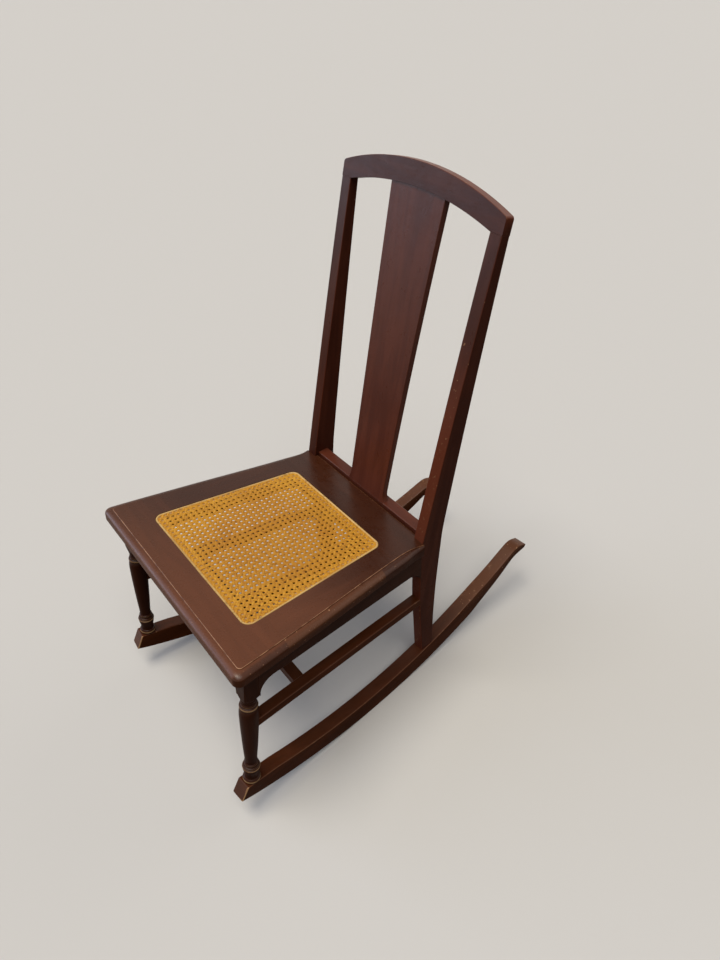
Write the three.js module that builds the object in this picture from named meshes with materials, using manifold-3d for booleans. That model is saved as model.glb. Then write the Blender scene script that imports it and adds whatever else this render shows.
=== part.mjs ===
// Low armless rocking chair with a caned seat.
//
// Millimetres, +Z up. The chair faces -Y and is symmetrical about the plane x = 0.
// While it is drawn, y = 0 is the front edge of the seat's flat top and z = 0 is the floor;
// the last lines move the origin to the middle of the chair's footprint, on the floor.
// Each piece of wood is a solid of its own, cut for the tenon, dowel or screw it receives.

import * as THREE from "three";
import { mergeVertices } from "three/addons/utils/BufferGeometryUtils.js";
import Module from "manifold-3d";

const wasm = await Module();
wasm.setup();

// ---------------------------------------------------------------- driving dimensions

const FIT_GAP = 0.3; // clearance between any two pieces
const WIDE = 250; // half the length of a cutter that passes right through the chair

// Seat: a moulded frame of four boards that slopes down to the rear.
const SEAT_FRONT_HEIGHT = 372;
const SEAT_SLOPE = 0.1148;
const SEAT_THICKNESS = 22;
const SEAT_CORNER_RADIUS = 5.5;
const SEAT_REAR = 371;
const SEAT_LEDGE = 4; // how far the moulding reaches back between the posts
const FRONT_JOINT = 77;
const REAR_JOINT = 275;
// Half width of the flat top, as [distance from its front edge, half width].
const SEAT_HALF_WIDTH = [
  [0, 208], [50, 201.5], [150, 187], [250, 171.5], [310, 163],
  [326, 161.4], [342, 161.2], [356, 163], [367, 165.5],
];
// The moulded edge, as [outward, downward] from the edge of the flat top.
const MOULDING = [
  [0, 0], [1, 0.8], [1.2, 1.7], [6.5, 2.4], [11, 4.8], [12.9, 8.3], [13, 10], [13, SEAT_THICKNESS],
];
// It narrows from here back, to a small share of its width where it meets the posts.
const MOULDING_TAPER_START = 318;
const MOULDING_TAPER_LENGTH = 49;
const MOULDING_TAPER = 0.82;
const CORNER_SPREAD = 0.13; // how much further out the front corners go than the sides, per mm of moulding

// Cane opening, to the outside of the spline.
const CANE_FRONT = 44;
const CANE_REAR = 311.3;
const CANE_HALF_FRONT = 151;
const CANE_HALF_REAR = 125.2;
const CANE_CORNER_RADIUS = 15;
const SPLINE_WIDTH = 4.4;
const SPLINE_DEPTH = 6;
const CANE_LAND = 9;
const CANE_THICKNESS = 1.4;

// Rear posts: front edge in the side view, and depth from front to rear.
const POST_INNER = 141.5;
const POST_WIDTH = 21.3;
const POST_SPLAY = 0.0125;
const POST_BEND_HEIGHT = 330;
const POST_TOP = 809;
const POST_FACE_Y = 361.3; // the front face where the aprons and stretchers meet it
const POST_FRONT_AT_BEND = 366.3;
const POST_DEPTH_AT_BEND = 43;
const POST_LEAN = 0.2425;
const POST_CURVE = 3.0e-5;
const POST_TAPER = 0.0568;
const POST_FRONT_LOW = [[366.8, 46], [364, 116], [361, 190], [361.8, 262]];
const POST_REAR_LOW = [[410.6, 334], [404, 268], [398.6, 206], [394.6, 130], [393, 46]];

// Crest rail.
const CREST_DEPTH = 15.5;
const CREST_HALF_WIDTH = 168.6;
const CREST_SHOULDER = 832;
const CREST_TOP = 861.4;
const CREST_ARCH_RISE = 20;
const CREST_CORNER_RADIUS = 3;

// Splat.
const SPLAT_THICKNESS = 11;
const SPLAT_FRONT_AT_BEND = 374.8;
const SPLAT_LEAN = 0.2345;
const SPLAT_CURVE = 2.04e-5;
const SPLAT_HALF_AT_BEND = 44;
const SPLAT_WIDENING = 0.013;
const SPLAT_WIDENING_CURVE = 2.6e-5;
const SPLAT_FOOT_FLARE = 5;
const SPLAT_FLARE_HEIGHT = 18;
const SPLAT_TENON = 12;
const SPLAT_TENON_THICKNESS = 6;

// Rear rail: its top edge is the shoe that the splat stands in.
const RAIL_FRONT = 375.6;
const RAIL_REAR = 396.5;
const RAIL_BOTTOM = 272;
const SHOE_TOP = 335.2;
const SHOE_EDGE_RADIUS = 2.2;

// Front legs.
const LEG_X = 190.2;
const LEG_FOOT_Y = -18.6;
const LEG_FOOT_HEIGHT = 80;
const LEG_LEAN = 0.14;
const BLOCK_WIDTH = 26;
const BLOCK_BOTTOM = 200;
const LEG_TENON_RADIUS = 8;
const LEG_TENON_LENGTH = 24;

// Aprons.
const APRON_THICKNESS = 19;
const APRON_DROP = 62;
const APRON_END_DROP = 90;
const APRON_TENON = 12;
const APRON_TENON_THICKNESS = 7;
const APRON_TENON_INSET = 6; // from the apron's outer face
const APRON_SETBACK = 0.6; // from the outer faces of the legs
const APRON_LINE = [20, 366]; // where the side aprons' outer faces meet the legs' and the posts' lines

// Rockers: a round arc under the chair, with a tail that lifts off the arc.
const ROCKER_RADIUS = 871;
const ROCKER_LOW_Y = 257;
const ROCKER_DEPTH = 38;
const ROCKER_WIDTH = 25.5;
const ROCKER_CENTRE_X = 187.55;
const ROCKER_CONVERGE = 0.093;
const FLOOR_FACET = 30;

// Stretchers.
const STRETCHER_WIDTH = 19;
const STRETCHER_HEIGHT = 16;
const STRETCHER_TOP_FRONT = 226;
const STRETCHER_FALL = 0.086;
const CROSS_STRETCHER_Y = 102;
const CROSS_STRETCHER_TOP = 214.5;
const CROSS_STRETCHER_WIDTH = 20;
const STRETCHER_TENON = 9;
const STRETCHER_TENON_HEIGHT = 10;
const STRETCHER_TENON_DROP = 3; // from the stretcher's top to its tenon's

// Dowels, screws and corner blocks.
const DOWEL_RADIUS = 4;
const DOWEL_LENGTH = 36;
const DOWEL_BELOW_TOP = 13.5;
// Name of the joint, its place, and the flat top's half width there.
const DOWEL_ROWS = [["front", FRONT_JOINT, 198], ["rear", REAR_JOINT, 168]];
const DOWEL_INSETS = [["outer", 12], ["inner", 30]];
const CORNER_BLOCK_LEG = 46;
const CORNER_BLOCK_HEIGHT = 22;
const CREST_DOWEL_RADIUS = 3;
const CREST_DOWEL_LENGTH = 26;
const CREST_DOWEL_INSET = 6; // from the post's faces
const FOOT_DOWEL_RADIUS = 5;
const FOOT_DOWEL_LENGTH = 44;
const FOOT_DOWEL_Y = 380;
const FOOT_DOWEL_BOTTOM = 26;
const SCREW_RADIUS = 2;
const SCREW_HEAD_RADIUS = 4;
const SCREW_LENGTH = 34;
const SCREW_INSET = 21; // from the corner block's square corner

const SIDES = [["left", -1], ["right", 1]];

// ---------------------------------------------------------------- materials

const stainedWood = { color: 0x552f28, roughness: 0.38, metalness: 0 };
const rawWood = { color: 0xa5825c, roughness: 0.7, metalness: 0 };
const cane = { color: 0xcf9b43, roughness: 0.5, metalness: 0 };
const steel = { color: 0x8b8882, roughness: 0.45, metalness: 0.9 };

// ---------------------------------------------------------------- solids

function toSolid(geometry) {
  const bare = geometry.clone();
  bare.deleteAttribute("normal");
  bare.deleteAttribute("uv");
  const merged = mergeVertices(bare, 1e-3);
  const mesh = new wasm.Mesh({
    numProp: 3,
    vertProperties: new Float32Array(merged.attributes.position.array),
    triVerts: new Uint32Array(merged.index.array),
  });
  return new wasm.Manifold(mesh);
}

function toGeometry(solid) {
  const mesh = solid.getMesh();
  const geometry = new THREE.BufferGeometry();
  geometry.setAttribute("position", new THREE.BufferAttribute(new Float32Array(mesh.vertProperties), 3));
  geometry.setIndex(new THREE.BufferAttribute(new Uint32Array(mesh.triVerts), 1));
  geometry.computeVertexNormals();
  return geometry;
}

function cut(solid, ...cutters) {
  return cutters.reduce((left, cutter) => left.subtract(cutter), solid);
}

function join(...solids) {
  return solids.reduce((left, right) => left.add(right));
}

function shapeOf(points) {
  return new THREE.Shape(points.map(([across, up]) => new THREE.Vector2(across, up)));
}

function extrude(points, depth, matrix) {
  const geometry = new THREE.ExtrudeGeometry(shapeOf(points), { depth, bevelEnabled: false });
  return toSolid(geometry.applyMatrix4(matrix));
}

// A solid through level loops of [x, y] points, each counterclockwise; the lowest comes first.
function loft(loops) {
  const count = loops[0].points.length;
  const top = (loops.length - 1) * count;
  const index = [];
  for (let start = 0; start < top; start += count) {
    for (let i = 0; i < count; i += 1) {
      const a = start + i;
      const b = start + ((i + 1) % count);
      index.push(a, b, b + count, a, b + count, a + count);
    }
  }
  const cap = (loop) => THREE.ShapeUtils.triangulateShape(shapeOf(loop.points).getPoints(), []);
  for (const [a, b, c] of cap(loops[0])) {
    index.push(c, b, a);
  }
  for (const [a, b, c] of cap(loops.at(-1))) {
    index.push(top + a, top + b, top + c);
  }
  const positions = loops.flatMap(({ points, z }) => points.flatMap(([x, y]) => [x, y, z]));
  return new wasm.Manifold(new wasm.Mesh({
    numProp: 3,
    vertProperties: new Float32Array(positions),
    triVerts: new Uint32Array(index),
  }));
}

const AXIS_X = new THREE.Vector3(1, 0, 0);
const AXIS_Y = new THREE.Vector3(0, 1, 0);
const AXIS_Z = new THREE.Vector3(0, 0, 1);

// An outline in the side view, as [y, z] points, made solid from x = low to x = high.
function sidePrism(points, low, high) {
  const matrix = new THREE.Matrix4().makeBasis(AXIS_Y, AXIS_Z, AXIS_X).setPosition(low, 0, 0);
  return extrude(points, high - low, matrix);
}

// An outline in the front view, as [x, z] points, made solid from y = low to y = high.
function frontPrism(points, low, high) {
  const toFront = AXIS_Y.clone().negate();
  const matrix = new THREE.Matrix4().makeBasis(AXIS_X, AXIS_Z, toFront).setPosition(0, high, 0);
  return extrude(points, high - low, matrix);
}

// An outline in the plan view, as [x, y] points, made solid from z = low to z = high.
function planPrism(points, low, high) {
  return extrude(points, high - low, new THREE.Matrix4().makeTranslation(0, 0, low));
}

function rod(radius, length, segments = 16) {
  const profile = [[0, 0], [radius, 0], [radius, length], [0, length]];
  const geometry = new THREE.LatheGeometry(profile.map(([r, h]) => new THREE.Vector2(r, h)), segments);
  return geometry.rotateX(Math.PI / 2);
}

// A rod from one point towards a direction, as a solid in the chair's own coordinates.
function rodSolid(radius, length, start, direction) {
  const turn = new THREE.Quaternion().setFromUnitVectors(AXIS_Z, direction.clone().normalize());
  const matrix = new THREE.Matrix4().compose(start, turn, new THREE.Vector3(1, 1, 1));
  return toSolid(rod(radius, length).applyMatrix4(matrix));
}

function mirrorPoints(points, side) {
  return points.map(([x, other]) => [side * x, other]);
}

function smooth(points, steps) {
  const curve = new THREE.SplineCurve(points.map(([a, b]) => new THREE.Vector2(a, b)));
  return curve.getPoints(steps).map((point) => [point.x, point.y]);
}

function between(low, high, steps, makePoint) {
  return Array.from({ length: steps + 1 }, (_, step) => makePoint(low + ((high - low) * step) / steps));
}

// Replaces one corner of an outline by an arc that touches both edges.
function roundCorner(before, corner, after, radius, steps = 6) {
  const c = new THREE.Vector2(...corner);
  const toBefore = new THREE.Vector2(...before).sub(c).normalize();
  const toAfter = new THREE.Vector2(...after).sub(c).normalize();
  const half = Math.acos(toBefore.dot(toAfter)) / 2;
  const centre = toBefore.clone().add(toAfter).normalize().multiplyScalar(radius / Math.sin(half)).add(c);
  const first = toBefore.multiplyScalar(radius / Math.tan(half)).add(c).sub(centre);
  const last = toAfter.multiplyScalar(radius / Math.tan(half)).add(c).sub(centre);
  const sweep = Math.atan2(first.cross(last), first.dot(last));
  return between(0, 1, steps, (t) => {
    const point = first.clone().rotateAround(new THREE.Vector2(), sweep * t).add(centre);
    return [point.x, point.y];
  });
}

// ---------------------------------------------------------------- shared lines of the chair

const seatAngle = Math.atan(SEAT_SLOPE);
const seatTop = (y) => SEAT_FRONT_HEIGHT - SEAT_SLOPE * y;
const seatBottom = (y) => seatTop(y) - SEAT_THICKNESS / Math.cos(seatAngle);
const alongSeat = (y) => y / Math.cos(seatAngle);

const legY = (z) => LEG_FOOT_Y + LEG_LEAN * (z - LEG_FOOT_HEIGHT);

const bent = (z, atBend, lean, curve) => {
  const above = z - POST_BEND_HEIGHT;
  return atBend + lean * above + curve * above ** 2;
};
const postFront = (z) => bent(z, POST_FRONT_AT_BEND, POST_LEAN, POST_CURVE);
const postDepth = (z) => POST_DEPTH_AT_BEND - POST_TAPER * (z - POST_BEND_HEIGHT);
const postInner = (z) => POST_INNER + POST_SPLAY * Math.max(0, z - POST_BEND_HEIGHT);
const splatFront = (z) => bent(z, SPLAT_FRONT_AT_BEND, SPLAT_LEAN, SPLAT_CURVE);
const splatHalf = (z) => bent(z, SPLAT_HALF_AT_BEND, SPLAT_WIDENING, SPLAT_WIDENING_CURVE);

const postCentreX = POST_INNER + POST_WIDTH / 2;
const arcHeight = (y, radius) => ROCKER_RADIUS - Math.sqrt(radius ** 2 - (y - ROCKER_LOW_Y) ** 2);

// ---------------------------------------------------------------- seat, drawn flat and tilted later

const mouldingShare = (y) => {
  const way = Math.min(1, Math.max(0, y - MOULDING_TAPER_START) / MOULDING_TAPER_LENGTH);
  return 1 - MOULDING_TAPER * way ** 1.5;
};

// The seat's edge, at a distance outside the flat top.
function seatOutline(out) {
  const edge = smooth(SEAT_HALF_WIDTH, 32).map(([y, x]) => [x + out * mouldingShare(y), alongSeat(y)]);
  const corner = [edge[0][0] + CORNER_SPREAD * out, -out];
  const arc = roundCorner([0, -out], corner, edge[4], SEAT_CORNER_RADIUS + out / 2, 8);
  const straight = edge.filter(([, y]) => y > 16);
  const besidePost = [POST_INNER + 8, edge.at(-1)[1]];
  const rear = [POST_INNER + FIT_GAP, alongSeat(SEAT_REAR) + Math.min(out, SEAT_LEDGE)];
  const right = [...arc, ...straight, besidePost, rear];
  const left = right.map(([x, y]) => [-x, y]).reverse();
  return [...right, ...left];
}

function mouldedPlate() {
  return loft(MOULDING.map(([out, down]) => ({ points: seatOutline(out), z: -down })).reverse());
}

function caneOutline(inset) {
  const front = alongSeat(CANE_FRONT) + inset;
  const rear = alongSeat(CANE_REAR) - inset;
  const frontRight = [CANE_HALF_FRONT - inset, front];
  const rearRight = [CANE_HALF_REAR - inset, rear];
  const frontLeft = [-frontRight[0], front];
  const rearLeft = [-rearRight[0], rear];
  const radius = Math.max(CANE_CORNER_RADIUS - inset, 3);
  return [
    ...roundCorner(frontLeft, frontRight, rearRight, radius),
    ...roundCorner(frontRight, rearRight, rearLeft, radius),
    ...roundCorner(rearRight, rearLeft, frontLeft, radius),
    ...roundCorner(rearLeft, frontLeft, frontRight, radius),
  ];
}

// The groove for the spline, the lowered land that the cane lies on, and the hole under it.
function caneCutter() {
  const splineRoom = SPLINE_WIDTH + 2 * FIT_GAP;
  const outer = planPrism(caneOutline(0), -SPLINE_DEPTH - FIT_GAP, 5);
  const core = planPrism(caneOutline(splineRoom), -SPLINE_DEPTH - 1, 6);
  const land = planPrism(caneOutline(splineRoom - 0.01), -CANE_THICKNESS - 2 * FIT_GAP, 5);
  const hole = planPrism(caneOutline(splineRoom + CANE_LAND), -SEAT_THICKNESS - 5, 5);
  return join(cut(outer, core), land, hole);
}

function splineRing() {
  const outer = planPrism(caneOutline(FIT_GAP), -SPLINE_DEPTH, 0);
  const inner = planPrism(caneOutline(FIT_GAP + SPLINE_WIDTH), -SPLINE_DEPTH - 1, 1);
  return cut(outer, inner);
}

function caneSheet() {
  const inset = SPLINE_WIDTH + 2 * FIT_GAP;
  return planPrism(caneOutline(inset), -CANE_THICKNESS - FIT_GAP, -FIT_GAP);
}

const seatMatrix = new THREE.Matrix4()
  .makeRotationX(-seatAngle)
  .setPosition(0, 0, SEAT_FRONT_HEIGHT);
const toSeat = seatMatrix.clone().invert();

function inSeatFrame(solid) {
  return toSolid(toGeometry(solid).applyMatrix4(toSeat));
}

function boardStrip(front, rear, low, high) {
  const outline = [[low, front], [high, front], [high, rear], [low, rear]];
  return planPrism(outline, -2 * SEAT_THICKNESS, SEAT_THICKNESS);
}

// Dowel centres across each joint between seat boards, as [name, x, y] on the right-hand side.
const seatDowels = [];
for (const [name, joint, half] of DOWEL_ROWS) {
  for (const [place, inset] of DOWEL_INSETS) {
    seatDowels.push([`${name}_${place}`, half - inset, alongSeat(joint)]);
  }
}

const seatDowelStart = (x, y) => new THREE.Vector3(x, y - DOWEL_LENGTH / 2, -DOWEL_BELOW_TOP);

function seatDowelHoles() {
  const holes = [];
  for (const [, x, y] of seatDowels) {
    for (const [, side] of SIDES) {
      const start = seatDowelStart(side * x, y);
      start.y -= 1;
      holes.push(rodSolid(DOWEL_RADIUS + FIT_GAP, DOWEL_LENGTH + 2, start, AXIS_Y));
    }
  }
  return holes;
}

function seatBoards(postSolids) {
  const room = postSolids.map((post) => inSeatFrame(post));
  const plate = cut(mouldedPlate(), caneCutter(), ...room, ...seatDowelHoles(), ...screwHoles());
  const front = alongSeat(FRONT_JOINT);
  const rear = alongSeat(REAR_JOINT);
  const end = alongSeat(RAIL_FRONT) - 2 * FIT_GAP;
  const half = FIT_GAP / 2;
  return {
    seat_front_board: plate.intersect(boardStrip(-50, front - half, -WIDE, WIDE)),
    seat_rear_board: plate.intersect(boardStrip(rear + half, end, -WIDE, WIDE)),
    seat_side_board_left: plate.intersect(boardStrip(front + half, rear - half, -WIDE, 0)),
    seat_side_board_right: plate.intersect(boardStrip(front + half, rear - half, 0, WIDE)),
  };
}

// ---------------------------------------------------------------- back

// The crest rail is a flat board that continues the line of the posts' front edges.
const crestSlope = (postFront(POST_TOP + 20) - postFront(POST_TOP - 20)) / 40;
const crestUp = new THREE.Vector3(0, crestSlope, 1).normalize();
const crestBack = new THREE.Vector3(0, 1, -crestSlope).normalize();

// The posts end square to that line, so their rear edges end lower than their front edges.
const rearSlope = crestSlope - POST_TAPER;
const postRearTop = POST_TOP - (crestSlope * postDepth(POST_TOP)) / (1 + crestSlope * rearSlope);

function postOutline(grow) {
  const low = smooth(POST_FRONT_LOW, 8);
  const frontHigh = between(POST_BEND_HEIGHT - 20, POST_TOP, 12, (z) => [postFront(z), z]);
  const rearHigh = between(postRearTop, POST_BEND_HEIGHT + 30, 12, (z) => [postFront(z) + postDepth(z), z]);
  const rearLow = smooth(POST_REAR_LOW, 8);
  const front = [...low, ...frontHigh].map(([y, z]) => [y - grow, z]);
  const rear = [...rearHigh, ...rearLow].map(([y, z]) => [y + grow, z]);
  return [...front, ...rear];
}

function postBlank(side, grow = 0) {
  const profile = sidePrism(postOutline(grow), -WIDE, WIDE);
  const edge = (z, offset) => [side * (postInner(z) + offset), z];
  const face = [
    edge(0, -grow),
    edge(POST_BEND_HEIGHT, -grow),
    edge(POST_TOP, -grow),
    edge(POST_TOP, POST_WIDTH + grow),
    edge(POST_BEND_HEIGHT, POST_WIDTH + grow),
    edge(0, POST_WIDTH + grow),
  ];
  return profile.intersect(frontPrism(face, 200, 700));
}

function arch(half, base, rise, steps) {
  const radius = (half ** 2 + rise ** 2) / (2 * rise);
  const centre = base + rise - radius;
  return between(-half, half, steps, (x) => [x, centre + Math.sqrt(radius ** 2 - x ** 2)]);
}

function crestRail() {
  const seam = POST_TOP + FIT_GAP;
  const under = arch(postInner(POST_TOP), seam, CREST_ARCH_RISE, 20);
  const over = arch(CREST_HALF_WIDTH, CREST_SHOULDER, CREST_TOP - CREST_SHOULDER, 24).reverse();
  const foot = [CREST_HALF_WIDTH, seam];
  const rightCorner = roundCorner(foot, over[0], over[4], CREST_CORNER_RADIUS);
  const leftCorner = rightCorner.map(([x, z]) => [-x, z]).reverse();
  const upright = [[-foot[0], seam], ...under, foot, ...rightCorner, ...over.slice(2, -2), ...leftCorner];
  const outline = upright.map(([x, z]) => [x, (z - POST_TOP) / crestUp.z]);
  const rear = new THREE.Vector3(0, postFront(POST_TOP), POST_TOP).addScaledVector(crestBack, CREST_DEPTH);
  const place = new THREE.Matrix4().makeBasis(AXIS_X, crestUp, crestBack.clone().negate()).setPosition(rear);
  const blank = extrude(outline, CREST_DEPTH, place);
  return cut(blank, splatSlab(POST_TOP, splatTop + FIT_GAP, FIT_GAP), ...crestDowelHoles());
}

// Crest dowels: two beside each other in each post, along the post's lean.
const crestDowels = [];
for (const [name, side] of SIDES) {
  for (const [place, offset] of [["inner", CREST_DOWEL_INSET], ["outer", POST_WIDTH - CREST_DOWEL_INSET]]) {
    const seamY = postFront(POST_TOP) + postDepth(POST_TOP) / 2;
    const middle = new THREE.Vector3(side * (postInner(POST_TOP) + offset), seamY, POST_TOP);
    const start = middle.addScaledVector(crestUp, -CREST_DOWEL_LENGTH / 2);
    crestDowels.push([`crest_dowel_${name}_${place}`, start]);
  }
}

function crestDowelHoles() {
  return crestDowels.map(([, start]) => {
    const deeper = start.clone().addScaledVector(crestUp, -1);
    return rodSolid(CREST_DOWEL_RADIUS + FIT_GAP, CREST_DOWEL_LENGTH + 2, deeper, crestUp);
  });
}

const splatTop = POST_TOP + CREST_ARCH_RISE + SPLAT_TENON - 4;
const splatFlare = (z) => SPLAT_FOOT_FLARE * Math.max(0, 1 - (z - SHOE_TOP) / SPLAT_FLARE_HEIGHT) ** 2;

// The splat's board between two heights; grow widens it for the mortise that takes its top.
function splatSlab(low, high, grow) {
  const half = (z) => splatHalf(z) + splatFlare(z) + grow;
  const front = between(low, high, 14, (z) => [splatFront(z) - grow, z]);
  const rear = between(high, low, 14, (z) => [splatFront(z) + SPLAT_THICKNESS + grow, z]);
  const foot = between(low, Math.min(high, low + 22), 6, (z) => [half(z), z]);
  const right = [...foot, ...between(Math.min(high, low + 50), high, 12, (z) => [half(z), z])];
  const left = right.map(([x, z]) => [-x, z]).reverse();
  return sidePrism([...front, ...rear], -100, 100).intersect(frontPrism([...right, ...left], 300, 700));
}

// The upright tenon under the splat, which enters the rear rail.
function splatTenon(grow) {
  const front = splatFront(SHOE_TOP) + (SPLAT_THICKNESS - SPLAT_TENON_THICKNESS) / 2 - grow;
  const rear = front + SPLAT_TENON_THICKNESS + 2 * grow;
  const half = SPLAT_HALF_AT_BEND - 4 + grow;
  const low = SHOE_TOP - SPLAT_TENON - grow;
  return planPrism([[-half, front], [half, front], [half, rear], [-half, rear]], low, SHOE_TOP + 2);
}

function splat() {
  return join(splatSlab(SHOE_TOP + FIT_GAP, splatTop, 0), splatTenon(0));
}

// Tenons at both ends of the rear rail, one bar that runs inside it.
function railTenon(grow) {
  const low = RAIL_BOTTOM + 6 - grow;
  const high = RAIL_BOTTOM + 44 + grow;
  const front = RAIL_FRONT + 6 - grow;
  const rear = RAIL_FRONT + 18 + grow;
  const reach = POST_INNER + APRON_TENON + grow;
  return sidePrism([[front, low], [rear, low], [rear, high], [front, high]], -reach, reach);
}

function rearRail() {
  const foot = [RAIL_REAR, RAIL_BOTTOM];
  const front = [RAIL_FRONT, SHOE_TOP];
  const rearEdge = roundCorner(foot, [RAIL_REAR, SHOE_TOP], front, SHOE_EDGE_RADIUS);
  const outline = [[RAIL_FRONT, RAIL_BOTTOM], foot, ...rearEdge, front];
  const half = POST_INNER - FIT_GAP;
  return cut(join(sidePrism(outline, -half, half), railTenon(0)), splatTenon(FIT_GAP));
}

// ---------------------------------------------------------------- front legs

// Turned outline of the leg as [radius, height above the rocker].
const LEG_TURNING = [
  [13.4, 0], [14.2, 1.5], [14.2, 5.5], [13, 8], [11.2, 9], [11, 12], [11.6, 18], [12.8, 24], [13.6, 28],
  [13.4, 30], [12.4, 30.6], [14, 31.6], [14.4, 33.2], [14, 34.8], [12.4, 35.6], [12.9, 37], [12.4, 38.4],
  [10, 39.2], [9.6, 41], [11, 42], [11.4, 43.4], [11, 44.8], [9.6, 45.6], [9.5, 48], [10.1, 58],
  [10.8, 70], [11.8, 87], [13, 110], [14.1, 134], [14.8, 155], [14.9, 168], [14.4, 175], [13.4, 178.5],
  [12.6, 179.8], [13.8, 181], [14.3, 183], [13.8, 185], [11.6, 186], [11.3, 188], [12.2, 189],
  [12.2, 191], [11.2, 192], [11, 196], [12.6, BLOCK_BOTTOM],
];

const legMatrix = (side) => new THREE.Matrix4()
  .makeRotationX(-Math.atan(LEG_LEAN))
  .setPosition(side * LEG_X, LEG_FOOT_Y, LEG_FOOT_HEIGHT);

function turnedLeg(side) {
  const top = 300;
  const profile = [
    [0, -LEG_TENON_LENGTH], [LEG_TENON_RADIUS, -LEG_TENON_LENGTH], [LEG_TENON_RADIUS, FIT_GAP],
    ...LEG_TURNING.map(([radius, height]) => [radius, height + FIT_GAP]),
    [10, BLOCK_BOTTOM + 6], [0, BLOCK_BOTTOM + 6],
  ];
  const turning = new THREE.LatheGeometry(profile.map(([r, h]) => new THREE.Vector2(r, h)), 24);
  const block = new THREE.BoxGeometry(BLOCK_WIDTH, BLOCK_WIDTH, top - BLOCK_BOTTOM);
  block.translate(0, 0, (top + BLOCK_BOTTOM) / 2);
  const matrix = legMatrix(side);
  const leg = join(
    toSolid(turning.rotateX(Math.PI / 2).applyMatrix4(matrix)),
    toSolid(block.applyMatrix4(matrix)),
  );
  return cut(leg, aboveSeatBottom());
}

function aboveSeatBottom() {
  const low = (y) => [y, seatBottom(y) - FIT_GAP];
  return sidePrism([low(-60), low(500), [500, 700], [-60, 700]], -WIDE, WIDE);
}

// ---------------------------------------------------------------- aprons

const frontApronFace = (z) => legY(z) - BLOCK_WIDTH / 2 + APRON_SETBACK;

// The front apron's thickness in the side view, leaning with the legs, from front to rear.
function frontApronSection(front, rear) {
  const edge = (z, offset) => [frontApronFace(z) + offset, z];
  return sidePrism([edge(200, front), edge(200, rear), edge(400, rear), edge(400, front)], -WIDE, WIDE);
}

const frontApronHalf = LEG_X - BLOCK_WIDTH / 2 - FIT_GAP;
const apronArc = APRON_END_DROP - APRON_DROP; // radius of the arc at each end of an apron's lower edge

function frontApron() {
  const half = frontApronHalf;
  const top = seatTop(0);
  const foot = top - APRON_END_DROP;
  const curve = between(0, Math.PI / 2, 8, (angle) => [
    half - apronArc * (1 - Math.cos(angle)),
    foot + apronArc * Math.sin(angle),
  ]);
  const lowerLeft = curve.map(([x, z]) => [-x, z]);
  const outline = [[-half, top], ...lowerLeft, ...curve.reverse(), [half, top]];
  const board = frontPrism(outline, -60, 120).intersect(frontApronSection(0, APRON_THICKNESS));
  return cut(join(board, frontApronTenon(0)), aboveSeatBottom());
}

// The tenons at both ends of the front apron; grow gives the mortises that take them.
function frontApronTenon(grow) {
  const low = seatTop(0) - APRON_END_DROP + 8 - grow;
  const high = seatBottom(20) - 8 + grow;
  const inner = frontApronHalf - 1;
  const outer = frontApronHalf + APRON_TENON + grow;
  const end = (side) => frontPrism(
    mirrorPoints([[inner, low], [outer, low], [outer, high], [inner, high]], side), -60, 120);
  const front = APRON_TENON_INSET - grow;
  const rear = APRON_TENON_INSET + APRON_TENON_THICKNESS + grow;
  return join(end(-1), end(1)).intersect(frontApronSection(front, rear));
}

const apronOuter = (y) => {
  const atLeg = LEG_X + BLOCK_WIDTH / 2 - APRON_SETBACK;
  const atPost = POST_INNER + POST_WIDTH;
  const [front, rear] = APRON_LINE;
  return atLeg + ((atPost - atLeg) * (y - front)) / (rear - front);
};

function planStrip(side, outer, thickness, front, rear, grow = 0) {
  const points = [
    [outer(front) + grow, front], [outer(rear) + grow, rear],
    [outer(rear) - thickness - grow, rear], [outer(front) - thickness - grow, front],
  ];
  return planPrism(mirrorPoints(points, side), 0, 420);
}

const legRear = (z) => legY(z) + BLOCK_WIDTH / 2 + FIT_GAP;
const apronFront = legRear(310);

// One end of a side apron's lower edge: an arc that rises away from the leg or the post.
function apronEnd(y, direction) {
  return between(0, Math.PI / 2, 8, (angle) => {
    const place = y + direction * apronArc * (1 - Math.cos(angle));
    return [place, seatTop(place) - APRON_END_DROP + apronArc * Math.sin(angle)];
  });
}

function sideApron(side) {
  const front = apronFront - 3;
  const lower = [...apronEnd(front, 1), ...apronEnd(POST_FACE_Y, -1).reverse()];
  const outline = [[front, 420], ...lower, [POST_FACE_Y + 8, 420]];
  const board = sidePrism(outline, -WIDE, WIDE)
    .intersect(planStrip(side, apronOuter, APRON_THICKNESS, -20, 420));
  const trimmed = cut(board, aboveSeatBottom(), frontLegRoom(side), rearPostRoom(side));
  return join(trimmed, apronTenon(side, 0));
}

// The tenons at both ends of a side apron, which reach a little way inside the board.
function apronTenon(side, grow) {
  const low = (y) => [y, seatTop(y) - 82 - grow];
  const high = (y) => [y, seatTop(y) - 34 + grow];
  const front = apronFront - APRON_TENON + 2 - grow;
  const rear = POST_FACE_Y + APRON_TENON + grow;
  const outer = (y) => apronOuter(y) - APRON_TENON_INSET;
  const tongue = (from, to) => sidePrism([low(from), low(to), high(to), high(from)], -WIDE, WIDE);
  return join(tongue(front, apronFront + 1), tongue(POST_FACE_Y - 3, rear))
    .intersect(planStrip(side, outer, APRON_TENON_THICKNESS, front, rear, grow));
}

function frontLegRoom(side) {
  const points = [
    [legY(0) - 40, 0], [legRear(0), 0], [legRear(400), 400], [legY(400) - 40, 400],
  ];
  return sidePrism(points, side > 0 ? 100 : -300, side > 0 ? 300 : -100);
}

function rearPostRoom(side) {
  return postBlank(side, FIT_GAP);
}

// ---------------------------------------------------------------- corner blocks, in the seat's frame

const BLOCK_TOP = -SEAT_THICKNESS - FIT_GAP;
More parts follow.
